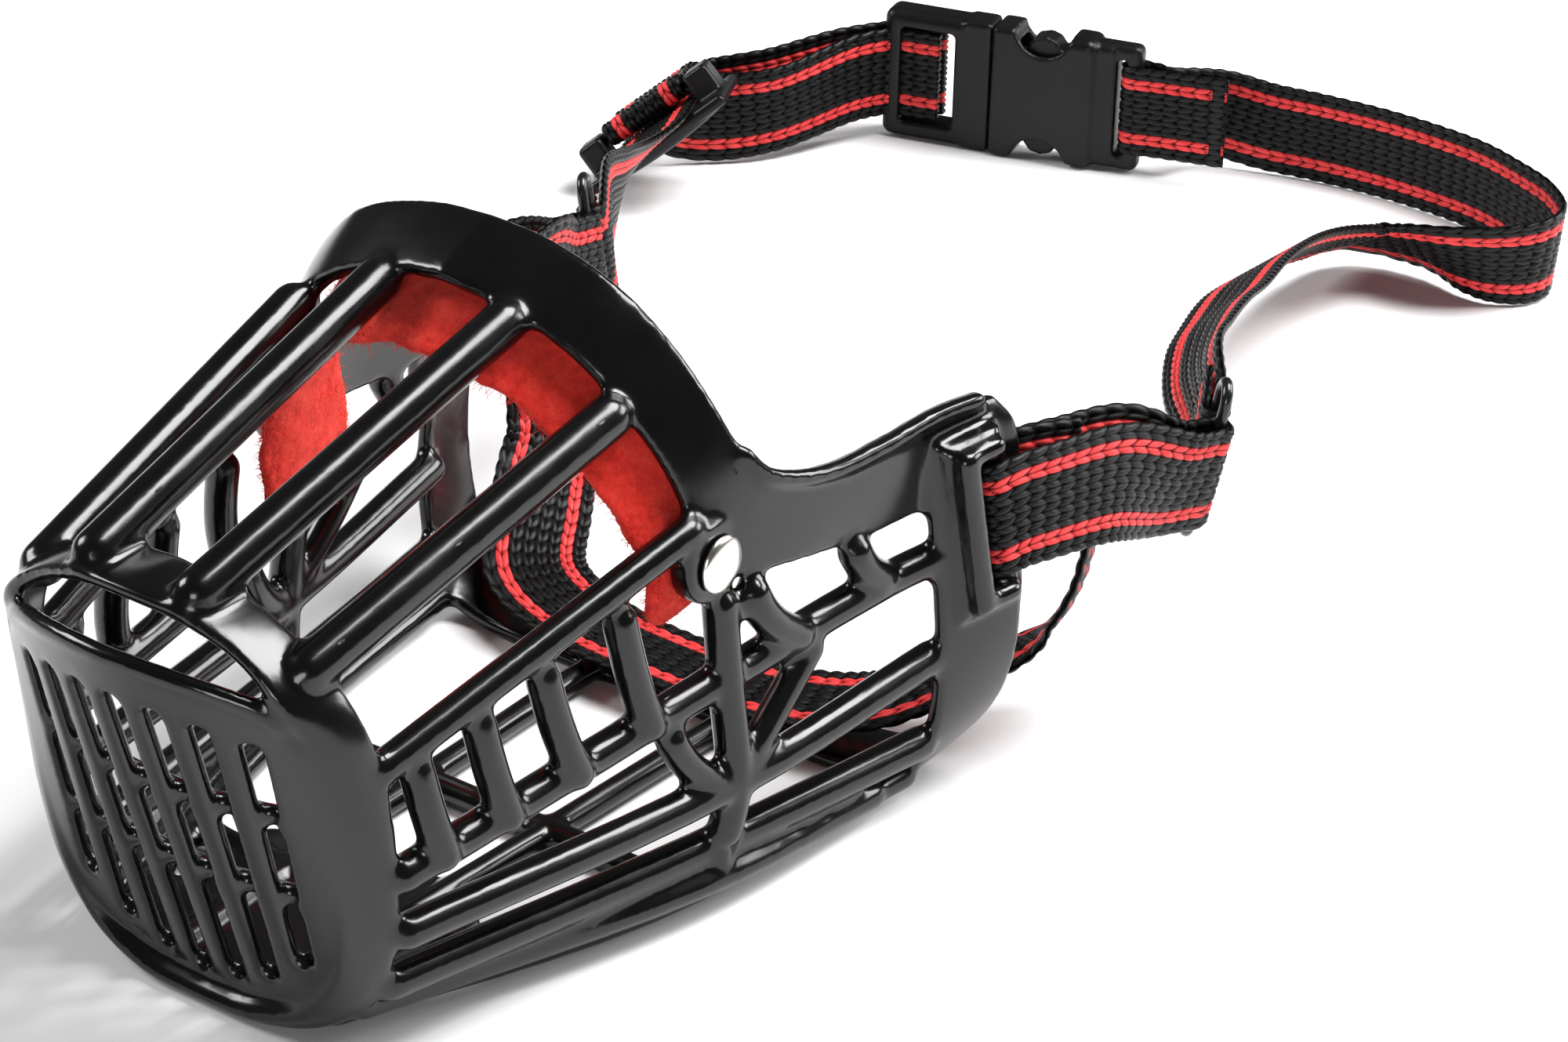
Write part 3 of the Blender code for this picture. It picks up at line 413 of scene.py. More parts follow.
class Shader:
    """Material being built round its Principled BSDF."""

    def __init__(self, name):
        self.mat = bpy.data.materials.new(name)
        self.mat.use_nodes = True
        self.nodes = self.mat.node_tree.nodes
        self.links = self.mat.node_tree.links
        self.bsdf = self.nodes["Principled BSDF"]

    def coords(self):
        return self.nodes.new("ShaderNodeTexCoord").outputs["Object"]

    def feed(self, output, socket):
        self.links.new(output, self.bsdf.inputs[socket])

    def fix(self, **values):
        """Constant values for the BSDF; an underscore stands for a space."""
        for name, value in values.items():
            self.bsdf.inputs[name.replace("_", " ")].default_value = value

    def noise(self, vector, scale, detail, rough):
        tex = self.nodes.new("ShaderNodeTexNoise")
        for name, value in (("Scale", scale), ("Detail", detail), ("Roughness", rough)):
            tex.inputs[name].default_value = value
        self.links.new(vector, tex.inputs["Vector"])
        return tex.outputs["Fac"]

    def ramp(self, source, *stops):
        node = self.nodes.new("ShaderNodeValToRGB")
        for element, (place, color) in zip(node.color_ramp.elements, stops):
            element.position = place
            element.color = (*color, 1.0)
        for place, color in stops[2:]:
            element = node.color_ramp.elements.new(place)
            element.color = (*color, 1.0)
        self.links.new(source, node.inputs["Fac"])
        return node.outputs["Color"]

    def calc(self, operation, source, factor):
        node = self.nodes.new("ShaderNodeMath")
        node.operation = operation
        node.inputs[1].default_value = factor
        self.links.new(source, node.inputs[0])
        return node

    def spread(self, source, low, high, span=(0.0, 1.0)):
        """Source values over a span, mapped to low..high."""
        node = self.nodes.new("ShaderNodeMapRange")
        ends = (("From Min", span[0]), ("From Max", span[1]), ("To Min", low), ("To Max", high))
        for name, value in ends:
            node.inputs[name].default_value = value
        self.links.new(source, node.inputs["Value"])
        return node.outputs["Result"]

    def mix(self, blend):
        node = self.nodes.new("ShaderNodeMix")
        node.data_type = "RGBA"
        node.blend_type = blend
        return node

    def bump(self, *layers):
        """Bumps laid over each other, as (height, strength, distance in metres)."""
        below = None
        for height, strength, distance in layers:
            node = self.nodes.new("ShaderNodeBump")
            node.inputs["Strength"].default_value = strength
            node.inputs["Distance"].default_value = distance
            self.links.new(height, node.inputs["Height"])
            if below:
                self.links.new(below, node.inputs["Normal"])
            below = node.outputs["Normal"]
        self.feed(below, "Normal")


BLACK, WHITE = (0.0, 0.0, 0.0), (1.0, 1.0, 1.0)
DUST_TINT = (0.22, 0.21, 0.2, 1)


def plastic(name, base, rough, grain, dust):
    """Moulded plastic: mottled gloss, faint flow ripple, fine grain and stray dust."""
    sh = Shader(name)
    where = sh.coords()
    cloud = sh.noise(where, 55.0, 5.0, 0.6)
    grey = sh.ramp(cloud, (0.3, tuple(c * 0.8 for c in base)), (0.7, tuple(c * 1.25 for c in base)))
    fleck = sh.ramp(sh.noise(where, 900.0, 2.0, 0.5), (0.80, BLACK), (0.84, WHITE))
    mix = sh.mix("MIX")
    mix.inputs["B"].default_value = DUST_TINT
    sh.links.new(grey, mix.inputs["A"])
    sh.links.new(sh.calc("MULTIPLY", fleck, dust).outputs[0], mix.inputs["Factor"])
    sh.feed(mix.outputs["Result"], "Base Color")
    sh.feed(sh.spread(cloud, *rough, (0.3, 0.7)), "Roughness")
    flow = sh.noise(where, 28.0, 2.0, 0.4)
    sh.bump((flow, 0.25, 0.0006), (sh.noise(where, 2600.0, 2.0, 0.6), grain, 0.00004))
    sh.fix(IOR=1.5)
    return sh.mat


def nickel_material():
    sh = Shader("rivet_nickel")
    where = sh.coords()
    cloud = sh.noise(where, 260.0, 4.0, 0.6)
    sh.feed(sh.ramp(cloud, (0.25, (0.70, 0.66, 0.60)), (0.75, (0.88, 0.85, 0.80))), "Base Color")
    sh.feed(sh.spread(cloud, 0.14, 0.30), "Roughness")
    sh.bump((sh.noise(where, 1500.0, 3.0, 0.6), 0.15, 0.00005))
    sh.fix(Metallic=1.0)
    return sh.mat


def felt_material(name, light=1.0):
    sh = Shader(name)
    where = sh.coords()
    tuft = sh.noise(where, 420.0, 6.0, 0.7)
    tone = sh.ramp(tuft, (0.25, (0.55 * light, 0.009, 0.006)), (0.5, (0.86 * light, 0.026, 0.016)),
                   (0.78, (0.95 * light, 0.075, 0.05)))
    sh.feed(tone, "Base Color")
    sh.bump((tuft, 0.8, 0.0009), (sh.noise(where, 1500.0, 6.0, 0.75), 0.9, 0.0003))
    sh.fix(Roughness=0.95, Sheen_Weight=0.45, Sheen_Roughness=0.6, Specular_IOR_Level=0.2,
           Sheen_Tint=(1.0, 0.32, 0.26, 1))
    return sh.mat


def yarn_material(name, dark, light, gloss):
    """Multifilament yarn: filaments along each lump, with painted shade darkening the valleys
    between lumps.
    """
    sh = Shader(name)
    uv = sh.nodes.new("ShaderNodeUVMap")
    uv.uv_map = "web"
    stretch = sh.nodes.new("ShaderNodeMapping")
    stretch.inputs["Scale"].default_value = (0.35, 5.5, 1.0)
    sh.links.new(uv.outputs["UV"], stretch.inputs["Vector"])
    fibre = sh.noise(stretch.outputs["Vector"], 1.6, 5.0, 0.65)
    cloud = sh.noise(uv.outputs["UV"], 0.35, 3.0, 0.6)
    blend = sh.calc("MULTIPLY_ADD", cloud, 0.55)
    sh.links.new(sh.calc("MULTIPLY", fibre, 0.5).outputs[0], blend.inputs[2])
    tone = sh.ramp(blend.outputs[0], (0.36, dark), (0.68, light))
    # Painted shade: the colour is darkened where the lump height is low, in the valleys between
    # lumps, and the gloss is cut there too.
    height = sh.nodes.new("ShaderNodeAttribute")
    height.attribute_name = "lump"
    shade = sh.ramp(height.outputs["Fac"], (0.06, (0.06, 0.06, 0.06)), (0.46, WHITE))
    depth = sh.mix("MULTIPLY")
    depth.inputs["Factor"].default_value = 1.0
    sh.links.new(tone, depth.inputs["A"])
    sh.links.new(shade, depth.inputs["B"])
    sh.feed(depth.outputs["Result"], "Base Color")
    sh.feed(sh.calc("MULTIPLY", shade, 0.2).outputs[0], "Specular IOR Level")
    sh.bump((fibre, 0.7, 0.00012))
    sh.fix(Roughness=gloss, Sheen_Weight=0.02, Sheen_Roughness=0.4)
    return sh.mat


def floor_material():
    sh = Shader("floor_paper")
    cloud = sh.noise(sh.coords(), 6.0, 4.0, 0.6)
    sh.feed(sh.ramp(cloud, (0.3, (0.86, 0.86, 0.865)), (0.7, (0.89, 0.89, 0.892))), "Base Color")
    sh.fix(Roughness=0.9, Specular_IOR_Level=0.1)
    return sh.mat


CAGE_MAT = plastic("cage_plastic", (0.0022, 0.0021, 0.0024), (0.15, 0.24), 0.10, 0.3)
BUCKLE_MAT = plastic("buckle_plastic", (0.003, 0.003, 0.0034), (0.33, 0.45), 0.35, 0.2)
BUCKLE_MAT.node_tree.nodes["Principled BSDF"].inputs["Specular IOR Level"].default_value = 0.24
RING_MAT = plastic("ring_enamel", (0.009, 0.009, 0.010), (0.18, 0.28), 0.1, 0.1)
NICKEL = nickel_material()
FELT_MAT = felt_material("red_felt")
FUZZ_MAT = felt_material("red_felt_fibre", 1.15)
YARN_BLACK = yarn_material("yarn_black", (0.0012, 0.0012, 0.0015), (0.009, 0.0088, 0.0095), 0.33)
YARN_RED = yarn_material("yarn_red", (0.60, 0.018, 0.022), (0.95, 0.085, 0.085), 0.45)


# --- Moulded cage ------------------------------------------------------------------------

GRILLE_LEAN = 0.31
GRILLE_TOP = 69.0
GRILLE_FRONT = -7.0
SLOT_PITCH = 8.3
SLOT_WIDTH = 3.9
CROSSBAR = 1.8
CHIN_THICK = 2.4
LIP_RADIUS = 1.75       # bead along the top of the front plate
BEAD_RADIUS = 1.55      # bead along the side arm
SLOTS_PER_SIDE = 3
RIVET = (92.0, 71.3)
BOSS_RADIUS = 8.0
BOSS_IN, BOSS_OUT = 46.8, 52.0
PIN_RADIUS = 1.8
PAD_SWELL = 0.9
HOOD_ROWS = 3
HOOD_FRONT = -3.5


def grille_face(x, z):
    """Front of the bowed, leaning plate, as y at a place on it."""
    bow = 0.0015 + 0.0072 * max(z, 0.0) / GRILLE_TOP
    return GRILLE_FRONT + (GRILLE_TOP - z) * GRILLE_LEAN + bow * x * x


# Nose collar from the top middle round the left side to the bottom middle:
# (x, z, forward) of its front edge and (x, y, z) of its rear edge.
COLLAR = [
    ((0, 89.0, 0), (0, 11, 89.6)), ((12, 88.0, 0), (13, 11, 88.4)),
    ((23, 83.6, 0), (25, 11.5, 83.2)), ((31, 77, 0), (34, 13, 75.5)),
    ((34.5, 68, 0), (39, 15, 66)), ((35.5, 55, 0), (41, 17, 54)),
    ((35.5, 40, 0), (41.6, 18, 40)), ((34.5, 27, 0.4), (41, 18.5, 27)),
    ((31, 15, 1.2), (38, 18.5, 15)), ((23.5, 6.4, 2.8), (31, 18.5, 6.5)),
    ((12.5, 2.2, 4.2), (20, 18.5, 1.6)), ((0, 1.0, 4.6), (0, 18.5, 0.4)),
]

# Arch and side arm: lower front edge and upper rear edge, from the top middle to the band.
ARCH = [
    (0, 78.2, 117.3, 0, 93, 123.8), (15, 80, 114, 15, 93.5, 122),
    (28, 81.5, 108, 30, 93.5, 116.8), (37, 83, 100.5, 40, 95.5, 108),
    (44, 86, 90.5, 46.5, 97.5, 99), (48.5, 88.5, 80, 50.5, 100, 91),
    (50.8, 92, 70, 53, 104, 85.5), (52.5, 99, 66, 54.5, 111, 82.3),
    (55, 114.3, 63.7, 56, 121, 80.2), (56.5, 130, 61.7, 57.8, 134, 80.4),
    (58.5, 146, 61.5, 59.6, 149, 81.6), (61, 157, 62, 62, 160, 81.6),
]

# Rear band from its top corner down to the bottom middle: front edge and rear edge.
BAND = [
    (59.2, 148, 78, 61.4, 164, 80), (59.8, 146, 72, 64.5, 167.5, 74),
    (61.4, 146, 58, 68, 166.5, 58), (63.6, 146, 42, 69.2, 165.5, 42),
    (64.4, 146, 28, 69, 165, 28), (62.9, 146, 14, 65.5, 164, 16),
    (57.5, 145.5, 4.5, 58.5, 161.5, 7), (48, 145, 0.8, 48, 160.5, 1.6),
    (38, 144.5, 0.12, 37, 160.2, 0.12), (28, 144.2, 0, 28, 160, 0), (14, 144, 0, 14, 160, 0),
    (0, 144, 0, 0, 160, 0),
]

SLOT_MID = (65.0, 156.6, 58.0)
SLOT_TURN = (("Y", -7.0), ("X", 4.5), ("Z", -16.0))
SLOT_GAP = 3.6
SLOT_TALL = 25.6
BEZEL_EDGE = 5.0
RIDGE_FRONT = 5.6       # how far the ridge stands out, at its front and at its ends
RIDGE_END = 4.9


def slot_frame(side):
    """World matrix whose X points out through the strap slot and whose Z runs along it."""
    tilt, lean, yaw = (Matrix.Rotation(math.radians(angle), 4, axis) for axis, angle in SLOT_TURN)
    spot = Matrix.Translation(Vector((np.array(SLOT_MID) - SHIFT) * MM))
    at = spot @ (tilt @ (lean @ yaw))
    if side < 0:
        at = Matrix.Scale(-1, 4, (1, 0, 0)) @ at
    return at


def rib_paths():
    """Bars of the left side: drawing points and radius."""
    node = (54, 94.5, 26)
    paths = [
        ([(11.3, -1.2, 88.2), (14.4, 83.0, 112.8)], TOP_RIB),
        ([(29.6, 4.6, 77.4), (36.6, 84.4, 100.6)], TOP_RIB),
        ([(38, 13.5, 58.4), (49.3, 90.2, 79.3)], CHEEK_RIB),
        ([(40.6, 15.5, 38.3), (56.8, 137, 50.4), (60.8, 151, 52)], RIB),
        ([(40.3, 16.5, 26.8), node, (61.8, 150, 32)], RIB),
        ([(36.5, 16.5, 15), (51, 92.7, 12.8), (61, 149, 13.2)], RIB),
        ([(30.5, 16.5, 8.2), (52.8, 88, 7.2), (57, 138, 5)], BELLY_RIB),
        ([(24, 16.5, 4.2), (46.5, 80, 3.1), (57.5, 148, 5)], BELLY_RIB),
        ([(11.2, 15.4, 3.5), (14, 60, 2.9), (17, 147, 2.9)], BELLY_RIB),
        ([(50.4, 94.4, 64.6), (51.6, 95.2, 47), (54.2, 94.9, 25.5), (53.2, 92.8, 13)], RIB),
        ([(53.4, 93, 14), (51.0, 91.6, 6.4), (43, 90.5, 3.0), (20, 90, 2.9), (-1, 90, 2.9)],
         BELLY_RIB),
        ([(35.6, 50, 4.4), (30, 50, 3.0), (-1, 50, 2.9)], BELLY_RIB),
        (bend((50.3, 79.8, 42.6), (51.5, 84, 30), (54.4, 95.6, 25.2)), RIB * 0.9),
        (bend((55.2, 118, 47.2), (54.3, 108, 36), (54.3, 94, 26.2)), RIB * 0.85),
        (bend((52.6, 100.3, 65), (53.6, 102.5, 54), (55, 115.5, 47.6)), RIB),
        (bend((56.2, 127, 63.5), (56.4, 128.5, 55), (57.2, 138, 50.6)), RIB),
    ]
    short = [((39.6, 23.6, 59.5), (42.6, 27.5, 38.8)), ((41.6, 37.6, 63.0), (44.5, 42.6, 40.2)),
             ((43.4, 52.6, 66.2), (46.6, 59.4, 42.0)), ((45.6, 71.1, 70.0), (48.6, 76.8, 44.0))]
    for top, low in short:
        pull = (max(top[0], low[0]) + 1.2, top[1] + 0.2, low[2] + (top[2] - low[2]) * 0.3)
        end = (low[0] + 1.4, low[1], low[2] - 1.5)
        paths.append((bend(top, pull, end), RIB * 0.95))
    return paths


def collar_shell():
    """Nose collar: closed loops round its crowned outside and hollow inside."""
    rows = []
    for i, (front, rear) in enumerate(COLLAR):
        x, z, forward = front
        y = HOOD_FRONT + 0.0045 * x * x if i < HOOD_ROWS else grille_face(x, z) - forward
        rows.append((x, y, z, *rear))
    whole = mirrored(smooth_rows(rows, 6))[:-1]
    loops = [[] for _ in range(8)]
    for row in whole:
        front, rear = row[:3], row[3:]
        out = unit((rear[0], 0, rear[2] - 45))
        swell = max(0.0, float((rear - front) @ out))
        for k, (t, lift) in enumerate(((0, 0), (0.2, 0.27), (0.42, 0.42), (0.7, 0.3), (1, 0))):
            loops[k].append(front * (1 - t) + rear * t + out * swell * lift)
        loops[5].append(rear - out * WALL)
        loops[6].append((front + rear) / 2 - out * (WALL - swell * 0.32))
        loops[7].append(front - out * WALL * 0.9 + np.array((0, 1.4, 0)))
    verts = np.array([p for loop in loops for p in loop])
    return verts, ring_faces(len(loops), len(whole), True)


def slot_outline(mid, low, high):
    """Slot with round ends, as (x, z) points."""
    half, arc, steps = SLOT_WIDTH / 2, 6, 14
    pts = []
    ends = ((0.0, high, low, mid - half), (math.pi, low, high, mid + half))
    for start, here, there, edge in ends:
        for k in range(arc + 1):
            a = start + math.pi * k / arc
            pts.append((mid + half * math.cos(a), here + half * math.sin(a)))
        pts += [(edge, here + (there - here) * k / steps) for k in range(1, steps)]
    return pts


def slot_rows():
    """Middle, bottom and top of each slot in the front plate."""
    for k in range(-SLOTS_PER_SIDE, SLOTS_PER_SIDE + 1):
        yield k * SLOT_PITCH, 8.0 + 1.2 * k * k, 69.0 - 0.4 * k * k


def grille_plate(voxel, band):
    """Slotted front plate: bowed, leaning sheet with the slots cut through it."""
    edge = [(0.4, 79.5), (16, 78), (27, 74.5), (33, 67)]
    edge += [(front[0] - 0.8, front[1]) for front, rear in COLLAR[5:-2]]
    edge += [(13, 3.6), (0.4, 2.4)]
    outline = smooth_rows([(x, z, 0) for x, z in edge], 8)
    across = np.linspace(-1, 1, 25)
    verts = []
    for half, z, _ in outline:
        face = [(x * half, grille_face(x * half, z), z) for x in across]
        verts += face + [(x, y + WALL, z) for x, y, z in face[::-1]]
    soup = Soup().add(verts, ring_faces(len(outline), 2 * len(across)))
    plate = level_set(*soup.arrays(), voxel, band)
    for mid, low, high in slot_rows():
        loop = slot_outline(mid, low, high)
        ends = [[(x, grille_face(x, z) + y, z) for x, z in loop] for y in (-6, 9)]
        cutter = Soup().add(ends[0] + ends[1], ring_faces(2, len(loop)))
        plate = carve(plate, level_set(*cutter.arrays(), voxel, band))
    return plate


def bezel_parts(side):
    """Stepped frame round the strap slot: a low plinth and a raised ridge."""
    turn = slot_frame(side)
    half_y, half_z = SLOT_GAP / 2 + BEZEL_EDGE, SLOT_TALL / 2 + BEZEL_EDGE
    plinth = block((-2.6, -half_y - 1.6, -half_z - 0.4), (1.5, half_y - 1.0, half_z + 0.4), turn)
    inner, end, edge = SLOT_TALL / 2 + 0.5, half_z - 0.8, -half_y - 0.4
    front = rounded((-2, edge, -end), (RIDGE_FRONT, -2.3, end), 1.8, turn)
    upper = rounded((-2, edge, inner), (RIDGE_END, half_y - 2.2, end), 1.6, turn)
    lower = rounded((-2, edge, -end), (RIDGE_END, half_y - 2.2, -inner), 1.6, turn)
    return [plinth, front, upper, lower]


def cage():
    soup = Soup()
    soup.add(*collar_shell())
    chin = [(x, 17.5, 1.3 + 0.0022 * x * x, x, 66 - 0.012 * x * x, 1.5) for x in range(-26, 27, 4)]
    soup.add(*shell(np.array(chin, float), CHIN_THICK))
    for z in (50.0, 32.0):
        xs = [-35 + 70 * k / 16 for k in range(17)]
        soup.add(*tube([(x, grille_face(x, z) + WALL + 0.7, z) for x in xs], CROSSBAR))
    lip = [(x, grille_face(x, z) + WALL / 2, z) for x, z in
           ((-31, 70.5), (-26, 74.7), (-15, 77.9), (0, 79.2), (15, 77.9), (26, 74.7), (31, 70.5))]
    soup.add(*tube(smooth_rows(lip, 4), LIP_RADIUS))
    for mid, low, high in slot_rows():
        z = low - SLOT_WIDTH / 2 + 0.5
        y = grille_face(mid, z) + WALL + 0.3
        bead = [(-1.7, 0), (-1.2, 1.2), (0, 1.7), (1.2, 1.2), (1.7, 0)]
        soup.add(*turned((mid, y, z), (0, 1, 0), bead, 16))
    soup.add(*shell(mirrored(smooth_rows(ARCH, 5)), -WALL, 0.5))
    soup.add(*shell(mirrored(smooth_rows(BAND[::-1], 5)), WALL, 0.35))
    for side in (1, -1):
        rows = [(BOSS_IN, BOSS_RADIUS), (BOSS_OUT - 0.6, BOSS_RADIUS),
                (BOSS_OUT - 0.1, BOSS_RADIUS - 0.5)]
        soup.add(*turned((0, *RIVET), (side, 0, 0), rows))
        for part in bezel_parts(side):
            soup.add(*part)
        for pts, radius in rib_paths():
            path = smooth_rows(pts, 6 if len(pts) < 9 else 1)
            soup.add(*tube(path * np.array((side, 1, 1)), radius))
        bead = smooth_rows([(r[3] + 0.1, r[4] - 0.4, r[5] - 0.6) for r in ARCH[5:]], 4)
        soup.add(*tube(bead * np.array((side, 1, 1)), BEAD_RADIUS))
    cuts = []
    for side in (1, -1):
        half_y, half_z = SLOT_GAP / 2, SLOT_TALL / 2
        cuts.append(block((-20, -half_y, -half_z), (20, half_y, half_z), slot_frame(side)))
        hole = [(30, PIN_RADIUS + GAP), (70, PIN_RADIUS + GAP)]
        cuts.append(turned((0, *RIVET), (side, 0, 0), hole))
    return fuse("cage", soup, CAGE_VOXEL, CAGE_MAT, cuts, *CAGE_EDGES, plate=grille_plate)


cage_piece = cage()
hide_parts("muzzle_basket")
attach(cage_piece, "muzzle")


# --- Felt pad ----------------------------------------------------------------------------

# Pad from the top middle down its left side: lower front edge and upper rear edge.
PAD = [
    (0, 76.5, 106.6, 0, 92, 115.6), (14, 77.5, 104, 14, 92.5, 113.8),
    (26, 79.5, 97.8, 27.5, 93.5, 108.4), (34.5, 81.5, 90, 37, 95, 101),
    (40.5, 83, 82, 42.8, 96.5, 91), (44.6, 84, 76.5, 45.9, 97.5, 81),
    (46.4, 84.5, 70, 46.5, 98.5, 73), (46.5, 85, 60.5, 46.5, 98.5, 61.5),
]

# Right end of the pad, folded over on itself behind the rivet.
FLAP = [
    (-36.0, 77.5, 90.5, -38.5, 92.0, 96.0), (-39.6, 78.0, 80.0, -41.0, 95.0, 84.0),
    (-41.2, 78.5, 69.0, -41.6, 98.0, 70.0), (-41.4, 80.0, 60.0, -41.8, 97.0, 58.5),
    (-41.6, 83.0, 53.5, -42.0, 93.0, 52.5),
]
FELT_RING = 72          # points round the pad's section
FELT_REACH = 4.2        # how far its front edge comes past the arch
FIBRES = 5200
FIBRE_TAPER = ((-0.25, 0.05), (0.35, 0.05), (0.7, 0.04), (1.0, 0.02))


def felt_surface(rows):
    """Rings of points round the pad, with its lumps, and the normal at each."""
    front, rear = rows[:, :3].copy(), rows[:, 3:]
    front += unit((0, -1, -0.35)) * FELT_REACH
    along = np.gradient(front + rear, axis=0)
    wide = rear - front
    out = np.cross(along, wide)
    out /= np.linalg.norm(out, axis=1)[:, None]
    length = np.cumsum(np.r_[0, np.linalg.norm(np.diff((front + rear) / 2, axis=0), axis=1)])
    total = length[-1]
    verts, normals = [], []
    for i in range(len(rows)):
        end = min(length[i], total - length[i])
        taper = math.sqrt(max(0.03, 1 - max(0.0, 1 - end / 6.0) ** 2))
        wave = 1 + 0.035 * math.sin(length[i] * 0.43)
        half = np.linalg.norm(wide[i]) / 2 * wave * (0.45 + 0.55 * taper)
        side = unit(wide[i])
        mid = (front[i] + rear[i]) / 2 + out[i] * -FELT / 2
        for k in range(FELT_RING):
            a = 2 * math.pi * k / FELT_RING
            c, s = math.cos(a), math.sin(a)
            cc = math.copysign(abs(c) ** 0.55, c)
            ss = math.copysign(abs(s) ** 0.7, s)
            spot = mid + side * cc * half + out[i] * ss * FELT / 2 * taper
            push = unit(side * c * 0.5 + out[i] * s)
            here = Vector(spot)
            lump = noise.noise(here * 0.22) * 0.45 + noise.noise(here * 0.9) * 0.22
            lump += noise.noise(here * 3.1) * 0.12
            verts.append(spot + push * lump)
            normals.append(push)
    return np.array(verts), np.array(normals), len(rows)


def felt_pad():
    verts, normals, faces = [], [], []
    for rows in (mirrored(smooth_rows(PAD, 20)), smooth_rows(FLAP, 20)[::-1]):
        spots, push, count = felt_surface(rows)
        shift = sum(len(v) for v in verts)
        faces += [tuple(k + shift for k in f) for f in ring_faces(count, FELT_RING)]
        verts.append(spots)
        normals.append(push)
    verts, normals = np.vstack(verts), np.vstack(normals)
    rng = random.Random(11)
    fibres, more = [], []
    base = len(verts)
    for _ in range(FIBRES):
        j = rng.randrange(len(verts))
        root = verts[j]
        tip = unit(normals[j] + np.array([rng.gauss(0, 0.9) for _ in range(3)]))
        curl = unit(np.array([rng.gauss(0, 1) for _ in range(3)]))
        long = rng.uniform(0.7, 2.4)
        side = unit(np.cross(tip, curl))
        up = np.cross(side, tip)
        for t, r in FIBRE_TAPER:
            mid = root + tip * long * t + curl * long * 0.45 * max(t, 0) ** 2
            fibres += circle(mid, side, up, r, 3)
        more += [tuple(base + k for k in f) for f in ring_faces(len(FIBRE_TAPER), 3)]
        base += 3 * len(FIBRE_TAPER)
    pad = make_mesh("nose_felt", np.vstack([verts, np.array(fibres)]), faces + more, FELT_MAT)
    pad.data.materials.append(FUZZ_MAT)
    marks = np.zeros(len(pad.data.polygons), np.int32)
    marks[len(faces):] = 1
    pad.data.polygons.foreach_set("material_index", marks)
    return face_out(pad)


pad_piece = felt_pad()
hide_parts("nose_pad")
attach(pad_piece, "muzzle")


# --- Rivets ------------------------------------------------------------------------------

def rivets():
    """Cap outside and washer inside the pad, on each side."""
    felt_in = BOSS_IN - GAP - FELT - PAD_SWELL
    face = BOSS_OUT + GAP
    pin_end = felt_in - GAP - 1.0
    cap = [(pin_end, 0), (pin_end, PIN_RADIUS - 0.2), (pin_end + 0.2, PIN_RADIUS),
           (face, PIN_RADIUS), (face, 5.1), (face + 0.1, 5.38), (face + 0.35, 5.5),
           (face + 0.65, 5.45), (face + 0.95, 5.2), (face + 1.2, 4.8), (face + 1.45, 4.1),
           (face + 1.65, 3.2), (face + 1.8, 2.1), (face + 1.88, 1.0), (face + 1.9, 0)]
    back = [(felt_in - GAP - 2.6, 0), (felt_in - GAP - 2.58, 2.0), (felt_in - GAP - 2.4, 3.2),
            (felt_in - GAP - 2.0, 4.3), (felt_in - GAP - 1.4, 4.95), (felt_in - GAP - 0.8, 5.2),
            (felt_in - GAP - 0.2, 5.2), (felt_in - GAP, 5.0), (felt_in - GAP, PIN_RADIUS + GAP),
            (pin_end - GAP, PIN_RADIUS + GAP), (pin_end - GAP, 0)]
    for side, label in ((1, "left"), (-1, "right")):
        for kind, rows in (("cap", cap), ("back", back)):
            verts, faces = turned((0, *RIVET), (side, 0, 0), rows)
            piece = face_out(make_mesh("rivet_%s_%s_turned" % (kind, label), verts, faces, NICKEL))
            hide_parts("rivet_%s_%s" % (kind, label))
            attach(piece, "muzzle")


rivets()


# --- Paths of the straps and rings -------------------------------------------------------

RING_ROD = 1.15
RING_SPAN = 6.6
RING_TALL = 34.0
BUCKLE_MID = (-101.0, 419.0, 17.3)
BUCKLE_DIR = (-0.966, -0.259, 0.0)
BUCKLE_TALL = 34.0
BUCKLE_THICK = 11.0
BAR_OFFSET = 31.0
BAR = 1.7
SLIDER_MID = (-153.6, 341.0, 18.0)
SLIDER_ALONG = (-0.476, 0.866, -0.155)
SLIDER_ACROSS = (0.632, 0.459, 0.624)
SLIDER_LONG = 41.0
SLIDER_WIDE = 24.0
CENTRE_BAR = 1.2
WRAP_STEPS = 6


def square(v, axis):
    """Unit vector along the part of v that is square to a unit axis."""
    v = Vector(v)
    return (v - axis * v.dot(axis)).normalized()


def wrap(centre, across, toward, turn, radius):
    """Stations round a bar: from the toward direction, turning by turn degrees."""
    across = Vector(across).normalized()
    start = square(toward, across)
    out = []
    for k in range(WRAP_STEPS + 1):
        spin = Matrix.Rotation(math.radians(turn * k / WRAP_STEPS), 3, across)
        out.append((tuple(Vector(centre) + (spin @ start) * radius), tuple(across)))
    return out


def mirror_stations(stations):
    return [((-c[0], c[1], c[2]), (-w[0], w[1], w[2])) for c, w in stations]


def standing(rows):
    """Stations for a strap on its edge; rows are (x, y, z, lean to the right in degrees)."""
    out = []
    for i, row in enumerate(rows):
        ahead = Vector(rows[min(i + 1, len(rows) - 1)][:3])
        behind = Vector(rows[max(i - 1, 0)][:3])
        along = (ahead - behind).normalized()
        up = square(UP, along)
        across = Matrix.Rotation(math.radians(row[3]), 3, along) @ up
        out.append((tuple(row[:3]), tuple(across)))
    return out


